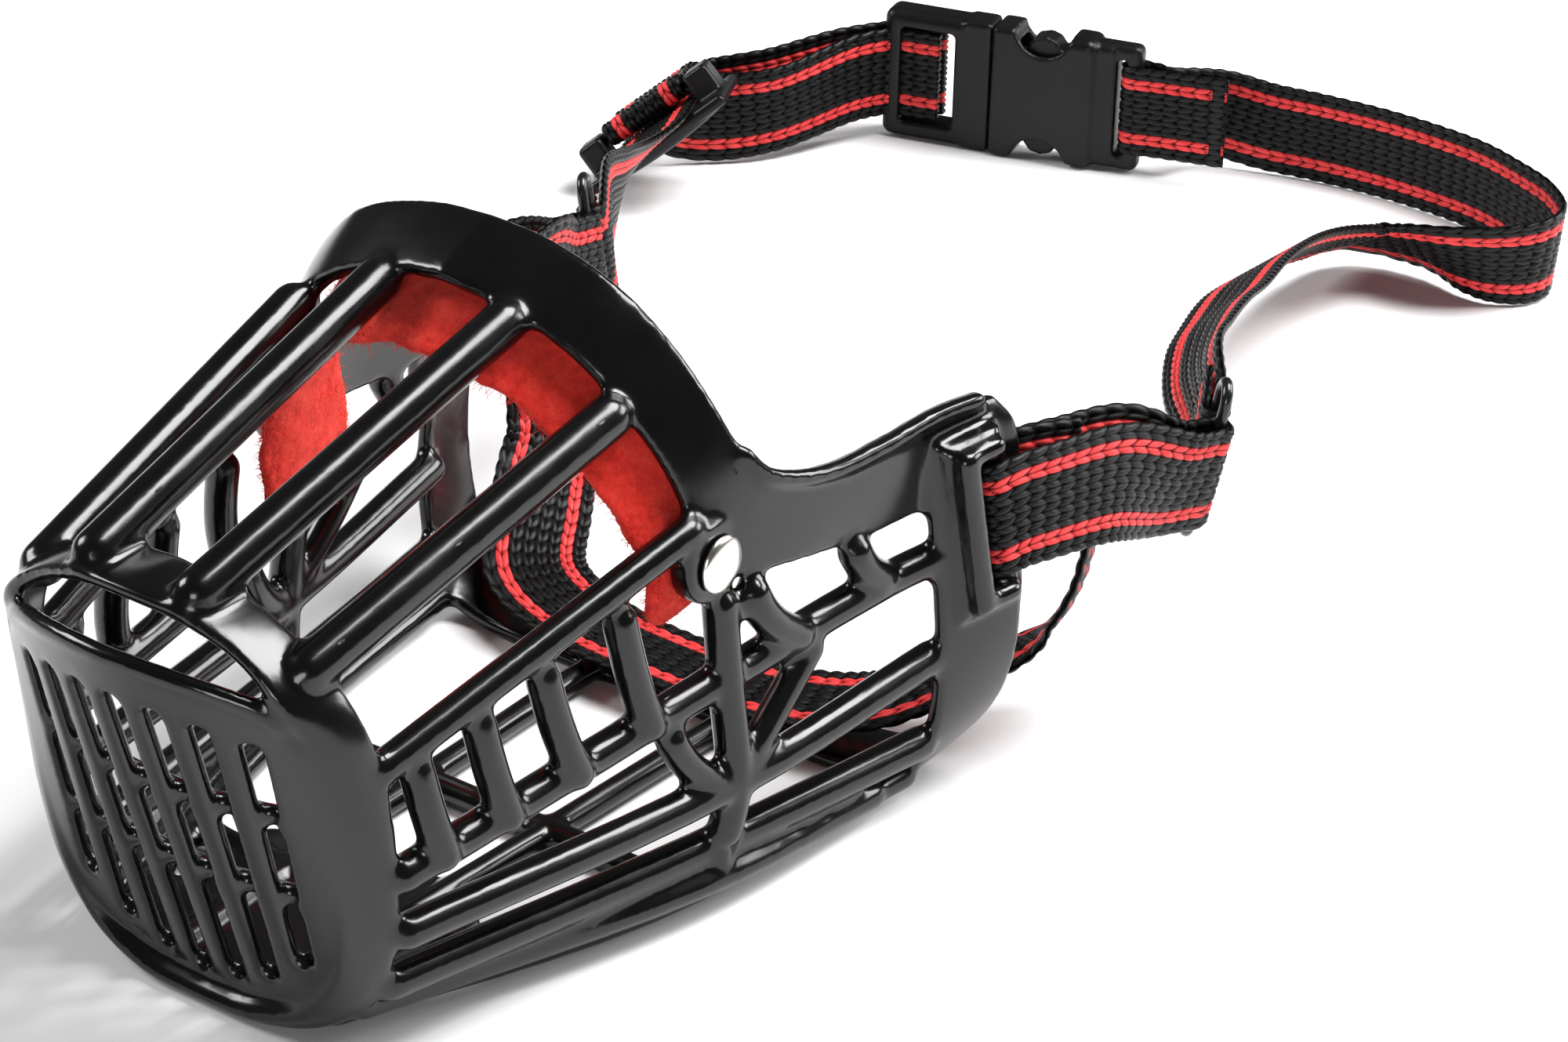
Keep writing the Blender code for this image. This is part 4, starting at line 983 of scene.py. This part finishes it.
def fold(centre, across, along, legs, radius=BAR + GAP + WEB_T / 2, close=2.0):
    """Strap folded round a bar: both legs leave along a direction, legs long each.

    Returns the left leg, the turn and the right leg as one run of stations.
    """
    across = Vector(across).normalized()
    along = square(along, across)
    right = along.cross(across)
    centre = Vector(centre)
    out = []
    if legs[0]:
        out.append((centre + along * legs[0] - right * close / 2, across))
        out.append((centre + along * (radius + 3.0) - right * (radius * 0.75), across))
    out += wrap(centre, across, -right, 180, radius)
    if legs[1]:
        out.append((centre + along * (radius + 3.0) + right * (radius * 0.75), across))
        out.append((centre + along * legs[1] + right * close / 2, across))
    return [(tuple(c), tuple(a)) for c, a in out]


RING_AXIS = Vector((0.2, 0.02, 0.98)).normalized()
TAB_BAR = Vector((76.3, 218.2, 46.6))       # ring bar inside the tab's fold
RING_TURN = {1: (-0.62, 0.78, 0.0), -1: (0.5, 0.85, 0.0)}   # from there to the strap bar
RING_RISE = 1.6                             # the ring stands higher than the webbing
ROD_FOLD = RING_ROD + GAP + WEB_T / 2


def strap_bar(side):
    """Ring bar that carries the neck strap, drawn on the left side."""
    return TAB_BAR + square(RING_TURN[side], RING_AXIS) * RING_SPAN


def far_bar():
    """The right ring's strap bar, where it stands."""
    spot = strap_bar(-1)
    spot.x = -spot.x
    return spot


def slot_point(out, back, along):
    """Drawing point in the left strap slot's own axes."""
    spot = slot_frame(1) @ (Vector((out, back, along)) * MM)
    return (spot.x / MM, spot.y / MM + NOSE_TO_REST, spot.z / MM)


def tab_stations():
    """Side tab: in through the strap slot, back round the ring and under itself."""
    across = tuple(slot_frame(1).to_3x3() @ Vector(UP))
    start = [(slot_point(*p), across) for p in
             [(-4.6, 26, -3), (-5.4, 18, -1), (-6.6, 9, 0), (-6.6, 4.9, 0), (-5.2, 1.3, 0),
              (-1, 0, 0), (1.6, 0, 0), (3.0, 0.8, 0), (3.4, 3.0, 0), (3.4, 7, 0), (3.2, 14, -1),
              (1.4, 32, -5)]]
    back = (TAB_BAR - Vector(slot_point(0, 12, 0))).normalized()
    right = back.cross(RING_AXIS).normalized()
    axis = tuple(RING_AXIS)
    lead = [(tuple(TAB_BAR - back * d + right * (ROD_FOLD + e)), axis)
            for d, e in ((12, 0.4), (3, 0))]
    turn = wrap(TAB_BAR, axis, tuple(right), 180, ROD_FOLD)
    tail = [(tuple(TAB_BAR - back * 3 - right * ROD_FOLD), axis),
            (tuple(TAB_BAR - back * 12 - right * (ROD_FOLD + 0.2)), axis),
            (slot_point(-6.8, 38, -5.6), across), (slot_point(-7.2, 24, -2.6), across),
            (slot_point(-8.6, 11, -1), across)]
    return start + lead + turn + tail


# Neck strap from the left ring to the buckle, for standing().
NEAR_RUN = [
    (60.8, 241.6, 50, 14), (49.1, 259.5, 47, 32), (37.9, 282, 43, 46), (30.4, 300.9, 38.5, 52),
    (19.5, 329.4, 32, 54), (11.8, 354.8, 25, 52), (6.9, 376.8, 18.5, 52), (5.2, 395, 13.6, 55),
    (7.6, 406.5, 11.2, 56), (16.4, 409.2, 11.4, 46), (29.3, 408.6, 11.8, 30),
    (38.5, 411.2, 12, 18), (45.4, 418.5, 12, 10), (46.2, 427.5, 12, 5), (38, 438.5, 12, 0),
    (26, 445, 12, 0), (13, 450, 12, 0), (-10, 452.4, 12, 0), (-31, 451, 12, 0),
    (-44, 447.5, 12.6, 0), (-56, 442, 15, 0)]


def buckle_point(along, face):
    """Drawing point in the buckle's own axes, as seen from its middle."""
    axis = Vector(BUCKLE_DIR).normalized()
    side = Vector(UP).cross(axis)
    return tuple(Vector(BUCKLE_MID) + axis * along + side * face)


def slider_axes():
    """Along the strap, out of its face and across it, at the slider."""
    along = Vector(SLIDER_ALONG).normalized()
    across = square(SLIDER_ACROSS, along)
    return along, across.cross(along), across


def slider_point(along, face):
    """Drawing point in the slider's own axes."""
    run, out = slider_axes()[:2]
    return tuple(Vector(SLIDER_MID) + run * along + out * face)


def fixed_strap():
    """Neck strap from the left ring to the female half, with both of its folds."""
    first = Vector(NEAR_RUN[0][:3])
    near = fold(strap_bar(1), RING_AXIS, first - strap_bar(1), (15, 0), ROD_FOLD)
    leave = -Vector(BUCKLE_DIR)
    far = fold(buckle_point(-BAR_OFFSET, 0), UP, leave, (9, 24), close=2.2)
    return near + standing(NEAR_RUN) + far


def lower_run():
    """Neck strap from the right ring to the slider."""
    path = [(-94, 246, 45, -4), (-110, 270, 35.5, 10), (-135.5, 305.4, 21.5, 34)]
    first = Vector(path[0][:3])
    axis = Vector((-RING_AXIS.x, RING_AXIS.y, RING_AXIS.z))
    across = tuple(slider_axes()[2])
    start = fold(far_bar(), axis, first - far_bar(), (13, 0), ROD_FOLD)
    end = [(slider_point(s, 0), across) for s in (-16, -8, -GAP / 2)]
    return start + standing(path) + end


def strap_loop():
    """Neck strap from the slider, round the male half's bar and back to the slider."""
    across = tuple(slider_axes()[2])
    hinge = Vector(buckle_point(BAR_OFFSET, 0))
    away = Vector((-0.5, -0.86, 0))
    start = [(slider_point(s, 0), across) for s in (GAP / 2, 8, 14)]
    there = [((-156.5, 361.5, 12.8), (0.25, 0.25, 0.93)), ((-144, 375, 13.6), (0.1, 0, 1))]
    right = away.cross(Vector(UP)).normalized()
    lead = [(tuple(hinge + away * 12 - right * 2.5), UP), (buckle_point(30.5, 2.75), UP),
            (buckle_point(25, 2.6), UP)]
    inner = Vector(buckle_point(19.5, 0))
    face = Vector(buckle_point(19.5, 1)) - inner
    round_end = wrap(inner, UP, tuple(face), -180, 2.3)
    back_leg = [(buckle_point(25, -2.6), UP), (buckle_point(30.5, -2.75), UP),
                (tuple(hinge + away * 14 + right * 2.5), UP)]
    turn = lead + round_end + back_leg
    back = [((-151.5, 381.5, 14.5), (0.1, 0.05, 1)), ((-163.4, 367.5, 13.2), (0.3, 0.25, 0.92))]
    end = [(slider_point(s, 5.6), across) for s in (18, 15, 12.9)]
    return start + there + turn + back + end


def strap_tail():
    """End of the neck strap, turned round the slider's centre bar."""
    out, across = (tuple(axis) for axis in slider_axes()[1:])
    centre = slider_point(0, WEB_T + 2 * GAP + CENTRE_BAR + 1.4)
    radius = CENTRE_BAR + GAP + WEB_T / 2
    turn = wrap(centre, across, out, 180, radius)
    lead = [(slider_point(12, 5.6), across), (slider_point(5, 5.9), across)]
    close = [(slider_point(5, 2.6), across), (slider_point(9, 3.4), across)]
    return lead + turn + close


# Throat strap from the left side tab to the middle: stations and the way across the strap.
THROAT = [
    ((67.4, 196.8, 50.5), (-0.42, 0.85, -0.3)),
    ((66.2, 194, 40), (-0.42, 0.85, -0.3)), ((65.2, 190.5, 29), (-0.4, 0.87, -0.28)),
    ((61.8, 186, 20.5), (-0.3, 0.93, -0.18)), ((53.5, 173, 15.6), (-0.1, 1, 0.05)),
    ((42, 157, 10.6), (-0.15, 1, 0.1)), ((24, 150.5, 8.2), (0, 1, 0.05)),
    ((0, 149, 7.6), (0, 1, 0)),
]


def world_spot(p):
    """World position of a drawing point, in metres."""
    return Vector((np.asarray(p, float) - SHIFT) * MM)


# --- Webbing -----------------------------------------------------------------------------

LUMP = 3.8              # weave repeat along the strap
COLUMNS = 16            # warp columns across the strap
PER = 4                 # points to each column
RED_AT = (2, 3)         # red columns, counted from each edge
YARN_LOW, YARN_HIGH = 0.32, 0.62    # half thickness between the lumps, and a lump's height
STEP_MIN = 0.55         # shortest step along the strap


def webbing(name, stations, wide=WEB, tacks=()):
    """Herringbone strap: lumps of yarn on both faces, red pairs near each edge."""
    rows = smooth_rows([(*c, *Vector(w).normalized()) for c, w in stations], 24)
    arc = np.r_[0, np.cumsum(np.linalg.norm(np.diff(rows[:, :3], axis=0), axis=1))]
    size = 2 * (COLUMNS * PER + 1)
    step = max(STEP_MIN, arc[-1] * size * 2 / 186000)
    count = int(arc[-1] / step) + 1
    at = np.linspace(0, arc[-1], count)
    rows = np.array([np.interp(at, arc, rows[:, k]) for k in range(6)]).T
    centre = rows[:, :3]
    along = np.gradient(centre, axis=0)
    along /= np.linalg.norm(along, axis=1)[:, None]
    across = rows[:, 3:] - along * np.sum(rows[:, 3:] * along, axis=1)[:, None]
    across /= np.linalg.norm(across, axis=1)[:, None]
    normal = np.cross(along, across)
    k = np.arange(COLUMNS * PER + 1)
    col = np.minimum(k // PER, COLUMNS - 1)
    u = (k - col * PER) / PER - 0.5
    lean = np.where(col % 2 == 0, 1.0, -1.0)
    v = k / (COLUMNS * PER) - 0.5
    ridge = np.sqrt(np.clip(1 - (2 * u) ** 2, 0, 1))
    held = np.zeros(count)
    for lo, hi in ((a + arc[-1] * (a < 0), b + arc[-1] * (a < 0)) for a, b in tacks):
        held = np.maximum(held, ((at > lo) & (at < hi)).astype(float))
    faces_up, crests = [], []
    for face, shift in ((1.0, 0.0), (-1.0, 0.5)):
        phase = at[:, None] / LUMP + lean * u * 0.5 + shift
        lump = np.abs(np.sin(math.pi * phase)) ** 0.9
        rise = YARN_HIGH * (0.1 + 0.9 * lump) * (0.25 + 0.75 * ridge) * (1 - 0.75 * held[:, None])
        thick = YARN_LOW + rise
        crests.append(lump * (0.15 + 0.85 * ridge))
        thick[:, 0] = thick[:, -1] = 0.22
        scallop = np.zeros((count, len(k)))
        scallop[:, 0] = -0.3 * np.abs(np.sin(math.pi * at / LUMP))
        scallop[:, -1] = 0.3 * np.abs(np.sin(math.pi * (at / LUMP + 0.5)))
        place = v * (wide - 0.6) + scallop
        faces_up.append(centre[:, None] + across[:, None] * place[..., None] +
                        normal[:, None] * face * thick[..., None])
    loops = np.concatenate([faces_up[0], faces_up[1][:, ::-1]], axis=1)
    verts = loops.reshape(-1, 3)
    high = np.concatenate([crests[0], crests[1][:, ::-1]], axis=1)
    i = np.arange(count - 1)[:, None] * size
    j = np.arange(size)[None, :]
    nxt = (j + 1) % size
    quads = np.stack([i + j, i + nxt, i + size + nxt, i + size + j], -1).reshape(-1, 4)
    obj = make_mesh(name, verts, quads.tolist() + [list(range(size))] +
                    [list(range((count - 1) * size, count * size))], YARN_BLACK)
    obj.data.materials.append(YARN_RED)
    column = np.r_[k[:-1] // PER, [-1], (k[:-1] // PER)[::-1], [-1]]
    red = np.isin(column, RED_AT) | np.isin(COLUMNS - 1 - column, RED_AT)
    marks = (red[None, :] & (held[:-1, None] < 0.5)).astype(np.int32).ravel()
    marks = np.r_[marks, 0, 0].astype(np.int32)
    obj.data.polygons.foreach_set("material_index", marks)
    spots = np.zeros((count, size, 2))
    spots[..., 0] = at[:, None]
    spots[..., 1] = np.r_[v, v[::-1]] * wide
    spots = spots.reshape(-1, 2)
    # Lump height at each point, which the yarn material uses to paint shade into the valleys.
    mark = obj.data.attributes.new("lump", "FLOAT", "POINT")
    mark.data.foreach_set("value", high.astype(np.float32).ravel())
    layer = obj.data.uv_layers.new(name="web")
    index = np.zeros(len(obj.data.loops), np.int32)
    obj.data.loops.foreach_get("vertex_index", index)
    layer.data.foreach_set("uv", spots[index].astype(np.float32).ravel())
    return face_out(obj)


def put(obj, node, body=None):
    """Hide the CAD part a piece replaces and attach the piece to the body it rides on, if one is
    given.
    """
    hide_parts(node)
    if body:
        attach(obj, body)
    return obj


tab = tab_stations()
put(webbing("web_tab_left", tab), "side_tab_left", "muzzle")
put(webbing("web_tab_right", mirror_stations(tab)), "side_tab_right", "muzzle")
throat = THROAT + mirror_stations(THROAT[:-1])[::-1]
put(webbing("web_throat", throat, WEB - 2), "throat_strap", "muzzle")
near = put(webbing("web_near", fixed_strap(), tacks=((-4.2, -1.2),)), "neck_strap_fixed")
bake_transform(near)
lower = put(webbing("web_far", lower_run()), "neck_strap_lower")
world_spot(far_bar())
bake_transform(lower)
loop = put(webbing("web_loop", strap_loop()), "neck_strap_loop")
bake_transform(loop)
put(webbing("web_tail", strap_tail()), "neck_strap_tail", "slider")


# --- Rings -------------------------------------------------------------------------------

def ring(label, side):
    inward = (strap_bar(side) - TAB_BAR).normalized()
    middle = (TAB_BAR + strap_bar(side)) / 2 + RING_AXIS * RING_RISE
    arc = RING_SPAN / 2
    reach = RING_TALL / 2 - arc
    pts = []
    for end in (1, -1):
        for k in range(15):
            a = math.pi * k / 14
            p = middle + inward * (-end * arc * math.cos(a))
            p = p + RING_AXIS * end * (reach + arc * math.sin(a))
            pts.append((side * p.x, p.y, p.z))
    obj = face_out(make_mesh("rod_ring_" + label, *tube(pts, RING_ROD, 24, True), RING_MAT))
    put(obj, "ring_" + label, "muzzle")


ring("left", 1)
ring("right", -1)


# --- Slider and buckle -------------------------------------------------------------------

FEMALE_END = -33.0          # far end of the female half, from the buckle's middle
SEAM = 5.0                  # where the two halves meet
MALE_END = 34.0
CAVITY = (3.6, 13.4)        # half depth and half height of the socket
STRAP_HOLE = WEB / 2 + 3 * GAP
SCOOP = (-8.0, 18.5, 7.5)   # along, across and radius of the thumb scoops


# Outline of one sprung arm: along the buckle and across it.
PRONG = [
    (4.8, 6.2), (4.8, 9.6), (-2.4, 10.4), (-3.6, 12.9), (-5.2, 15.0), (-8.2, 15.8), (-10.8, 15.0),
    (-12.4, 12.9), (-16.4, 10.6), (-18.2, 8.6), (-17.8, 6.6), (-3, 6.4),
]
PRONG_HALF = 3.2


def local_frame(middle, along, face, across):
    """Matrix placing a piece drawn in millimetres round the origin."""
    turn = Matrix((along, face, across)).transposed().to_4x4()
    return Matrix.Translation(world_spot(middle)) @ turn


def bar(ends, radius, frame_at, middle=None):
    """Round bar in a piece's own axes, swelling to another radius at its middle."""
    a, b = (np.array(e, float) for e in ends)
    long, swell = np.linalg.norm(b - a), (middle or radius) - radius
    rows = []
    for k in range(BAR_STEPS + 1):
        t = k / BAR_STEPS
        rows.append((long * t, radius + swell * math.sin(math.pi * t) ** 0.8))
    verts, faces = turned(a, b - a, rows, 32)
    return placed(frame_at, verts), faces


def buckle_frame():
    """World matrix of the buckle: along it, out of its face and up."""
    along = Vector(BUCKLE_DIR).normalized()
    up = Vector(UP)
    return local_frame(BUCKLE_MID, along, up.cross(along), up)


def slider_piece():
    run, out, across = slider_axes()
    at = local_frame(SLIDER_MID, run, out, across)
    half_l, half_w = SLIDER_LONG / 2, SLIDER_WIDE / 2
    hole = STRAP_HOLE
    outer = -(WEB_T / 2 + GAP + 1.5)
    centre = WEB_T + 2 * GAP + CENTRE_BAR + 1.4
    soup = Soup()
    soup.add(*rounded((-half_w, outer - 1.5, -half_l), (half_w, outer + 1.5, half_l), 1.3, at))
    for end in (1, -1):
        lo, hi = sorted((end * hole, end * (half_l - 1.0)))
        soup.add(*rounded((-4, outer - 1.2, lo), (4, centre + 1.6, hi), 1.2, at))
        x = end * (half_w - 2.6)
        soup.add(*bar([(x, outer - 0.5, -half_l + 2), (x, outer - 0.5, half_l - 2)], 1.1, at, 2.5))
    soup.add(*bar([(0, centre, -hole - 1), (0, centre, hole + 1)], CENTRE_BAR, at))
    cuts = [rounded((-half_w + 5, outer - 9, -hole), (half_w - 5, outer + 2.4, hole), 0.6, at)]
    return fuse("slider_body", soup, SLIDER_VOXEL, BUCKLE_MAT, cuts, *SLIDER_EDGES, 150000)


def female_piece():
    at = buckle_frame()
    half_t, half_z = BUCKLE_THICK / 2, BUCKLE_TALL / 2
    soup = Soup().add(*rounded((-22, -half_t, -half_z), (SEAM, half_t, half_z), 2.6, at))
    soup.add(*rounded((SEAM - 8, -half_t, -half_z), (SEAM, half_t, half_z), 1.0, at))
    soup.add(*rounded((FEMALE_END, -2.8, -half_z + 0.5), (-18, 2.8, half_z - 0.5), 1.8, at))
    soup.add(*rounded((-26.6, -3.6, -half_z + 1.2), (-18, 3.6, half_z - 1.2), 1.4, at))
    soup.add(*bar([(-BAR_OFFSET, 0, -STRAP_HOLE - 1), (-BAR_OFFSET, 0, STRAP_HOLE + 1)], BAR, at))
    cuts = [rounded((-29.5, -20, -STRAP_HOLE), (-26.9, 20, STRAP_HOLE), 0.9, at),
            rounded((-20, -CAVITY[0], -CAVITY[1]), (40, CAVITY[0], CAVITY[1]), 1.0, at)]
    for end in (1, -1):
        along, across = SCOOP[0], end * SCOOP[1]
        cuts.append(bar([(along, -20, across), (along, 20, across)], SCOOP[2], at))
    return fuse("buckle_female_body", soup, BUCKLE_VOXEL, BUCKLE_MAT, cuts, *BUCKLE_EDGES)


def male_piece():
    at = buckle_frame()
    half_z = BUCKLE_TALL / 2
    soup = Soup().add(*rounded((SEAM + GAP, -4.6, -half_z), (MALE_END, 4.6, half_z), 2.8, at))
    soup.add(*rounded((SEAM + GAP, -4.6, -half_z), (SEAM + 8, 4.6, half_z), 1.0, at))
    soup.add(*rounded((-16, -1.5, -1.8), (SEAM + 2, 1.5, 1.8), 0.6, at))
    soup.add(*bar([(BAR_OFFSET, 0, -STRAP_HOLE - 1), (BAR_OFFSET, 0, STRAP_HOLE + 1)], BAR, at))
    cuts = [rounded((15, -20, -STRAP_HOLE), (BAR_OFFSET - BAR, 20, STRAP_HOLE), 1.2, at)]
    return fuse("buckle_male_body", soup, BUCKLE_VOXEL, BUCKLE_MAT, cuts, *BUCKLE_EDGES)


def prong_piece(label, side):
    at = buckle_frame()
    outline = [(s, side * z) for s, z in PRONG]
    verts = [(s, t, z) for t in (-PRONG_HALF, PRONG_HALF) for s, z in outline]
    ring_count = len(outline)
    faces = [(k, (k + 1) % ring_count, ring_count + (k + 1) % ring_count, ring_count + k)
             for k in range(ring_count)]
    for base, depth in ((0, -PRONG_HALF), (ring_count, PRONG_HALF)):
        hub = len(verts)
        verts.append((-8.0, depth, side * 9.0))
        for k in range(ring_count):
            faces.append((base + k, base + (k + 1) % ring_count, hub))
    soup = Soup().add(placed(at, verts), faces)
    return fuse("prong_%s_body" % label, soup, PRONG_VOXEL, BUCKLE_MAT, (), *PRONG_EDGES, 90000)


put(slider_piece(), "slider", "slider")
put(female_piece(), "buckle_female", "neck_loop")
put(male_piece(), "buckle_male", "buckle_male")
put(prong_piece("upper", 1), "prong_upper", "prong_upper")
put(prong_piece("lower", -1), "prong_lower", "prong_lower")


# --- Camera, light and floor -------------------------------------------------------------

AZIMUTH, ELEVATION, ROLL = (math.radians(angle) for angle in (35.6, 27.8, 1.6))
CAMERA_AT = (0.4731, -0.6288, 0.4532)
FOCAL = 105.1
WORLD_LIGHT = 0.08
FLOOR_HALF = 6.0

# Name, place, aim, width, height and power of each lamp.
LAMPS = [
    ("top_box", (0.4, 0.5, 1.25), (0, 0.05, 0.05), 0.7, 0.7, 30),
    ("back_box", (0.9, 1.3, 0.8), (0, 0.05, 0.05), 1.0, 0.6, 22),
    ("left_box", (-1.2, -0.5, 0.9), (0, 0, 0.05), 0.6, 0.6, 14),
    ("front_fill", (0.7, -1.4, 0.5), (0, 0, 0.05), 0.6, 0.5, 7),
]


def build_camera():
    back = Vector((math.sin(AZIMUTH) * math.cos(ELEVATION),
                   -math.cos(AZIMUTH) * math.cos(ELEVATION), math.sin(ELEVATION)))
    right = Vector((math.cos(AZIMUTH), math.sin(AZIMUTH), 0))
    up = back.cross(right)
    right_r = right * math.cos(ROLL) + up * math.sin(ROLL)
    up_r = up * math.cos(ROLL) - right * math.sin(ROLL)
    data = bpy.data.cameras.new("camera")
    data.sensor_width = 36.0
    data.lens = FOCAL
    data.clip_start = 0.01
    data.clip_end = 50
    cam = link(bpy.data.objects.new("camera", data))
    turn = Matrix((right_r, up_r, back)).transposed().to_4x4()
    cam.matrix_world = Matrix.Translation(CAMERA_AT) @ turn
    bpy.context.scene.camera = cam


def area_light(name, spot, target, width, height, power):
    data = bpy.data.lights.new(name, "AREA")
    data.shape = "RECTANGLE"
    data.size, data.size_y = width, height
    data.energy = power
    lamp = link(bpy.data.objects.new(name, data))
    lamp.location = spot
    lamp.rotation_euler = (Vector(target) - lamp.location).to_track_quat("-Z", "Y").to_euler()


def build_stage():
    scene = bpy.context.scene
    scene.view_settings.view_transform = "Standard"
    world = bpy.data.worlds.new("studio")
    scene.world = world
    world.use_nodes = True
    shade = world.node_tree.nodes["Background"]
    shade.inputs["Color"].default_value = (1.0, 1.0, 1.0, 1)
    shade.inputs["Strength"].default_value = WORLD_LIGHT
    verts = [(x * FLOOR_HALF, y * FLOOR_HALF, 0) for x, y in ((-1, -1), (1, -1), (1, 1), (-1, 1))]
    mesh = bpy.data.meshes.new("floor")
    mesh.from_pydata(verts, [], [(0, 1, 2, 3)])
    mesh.materials.append(floor_material())
    floor = link(bpy.data.objects.new("floor", mesh))
    for lamp in LAMPS:
        area_light(*lamp)


build_camera()
build_stage()

bpy.context.view_layer.update()
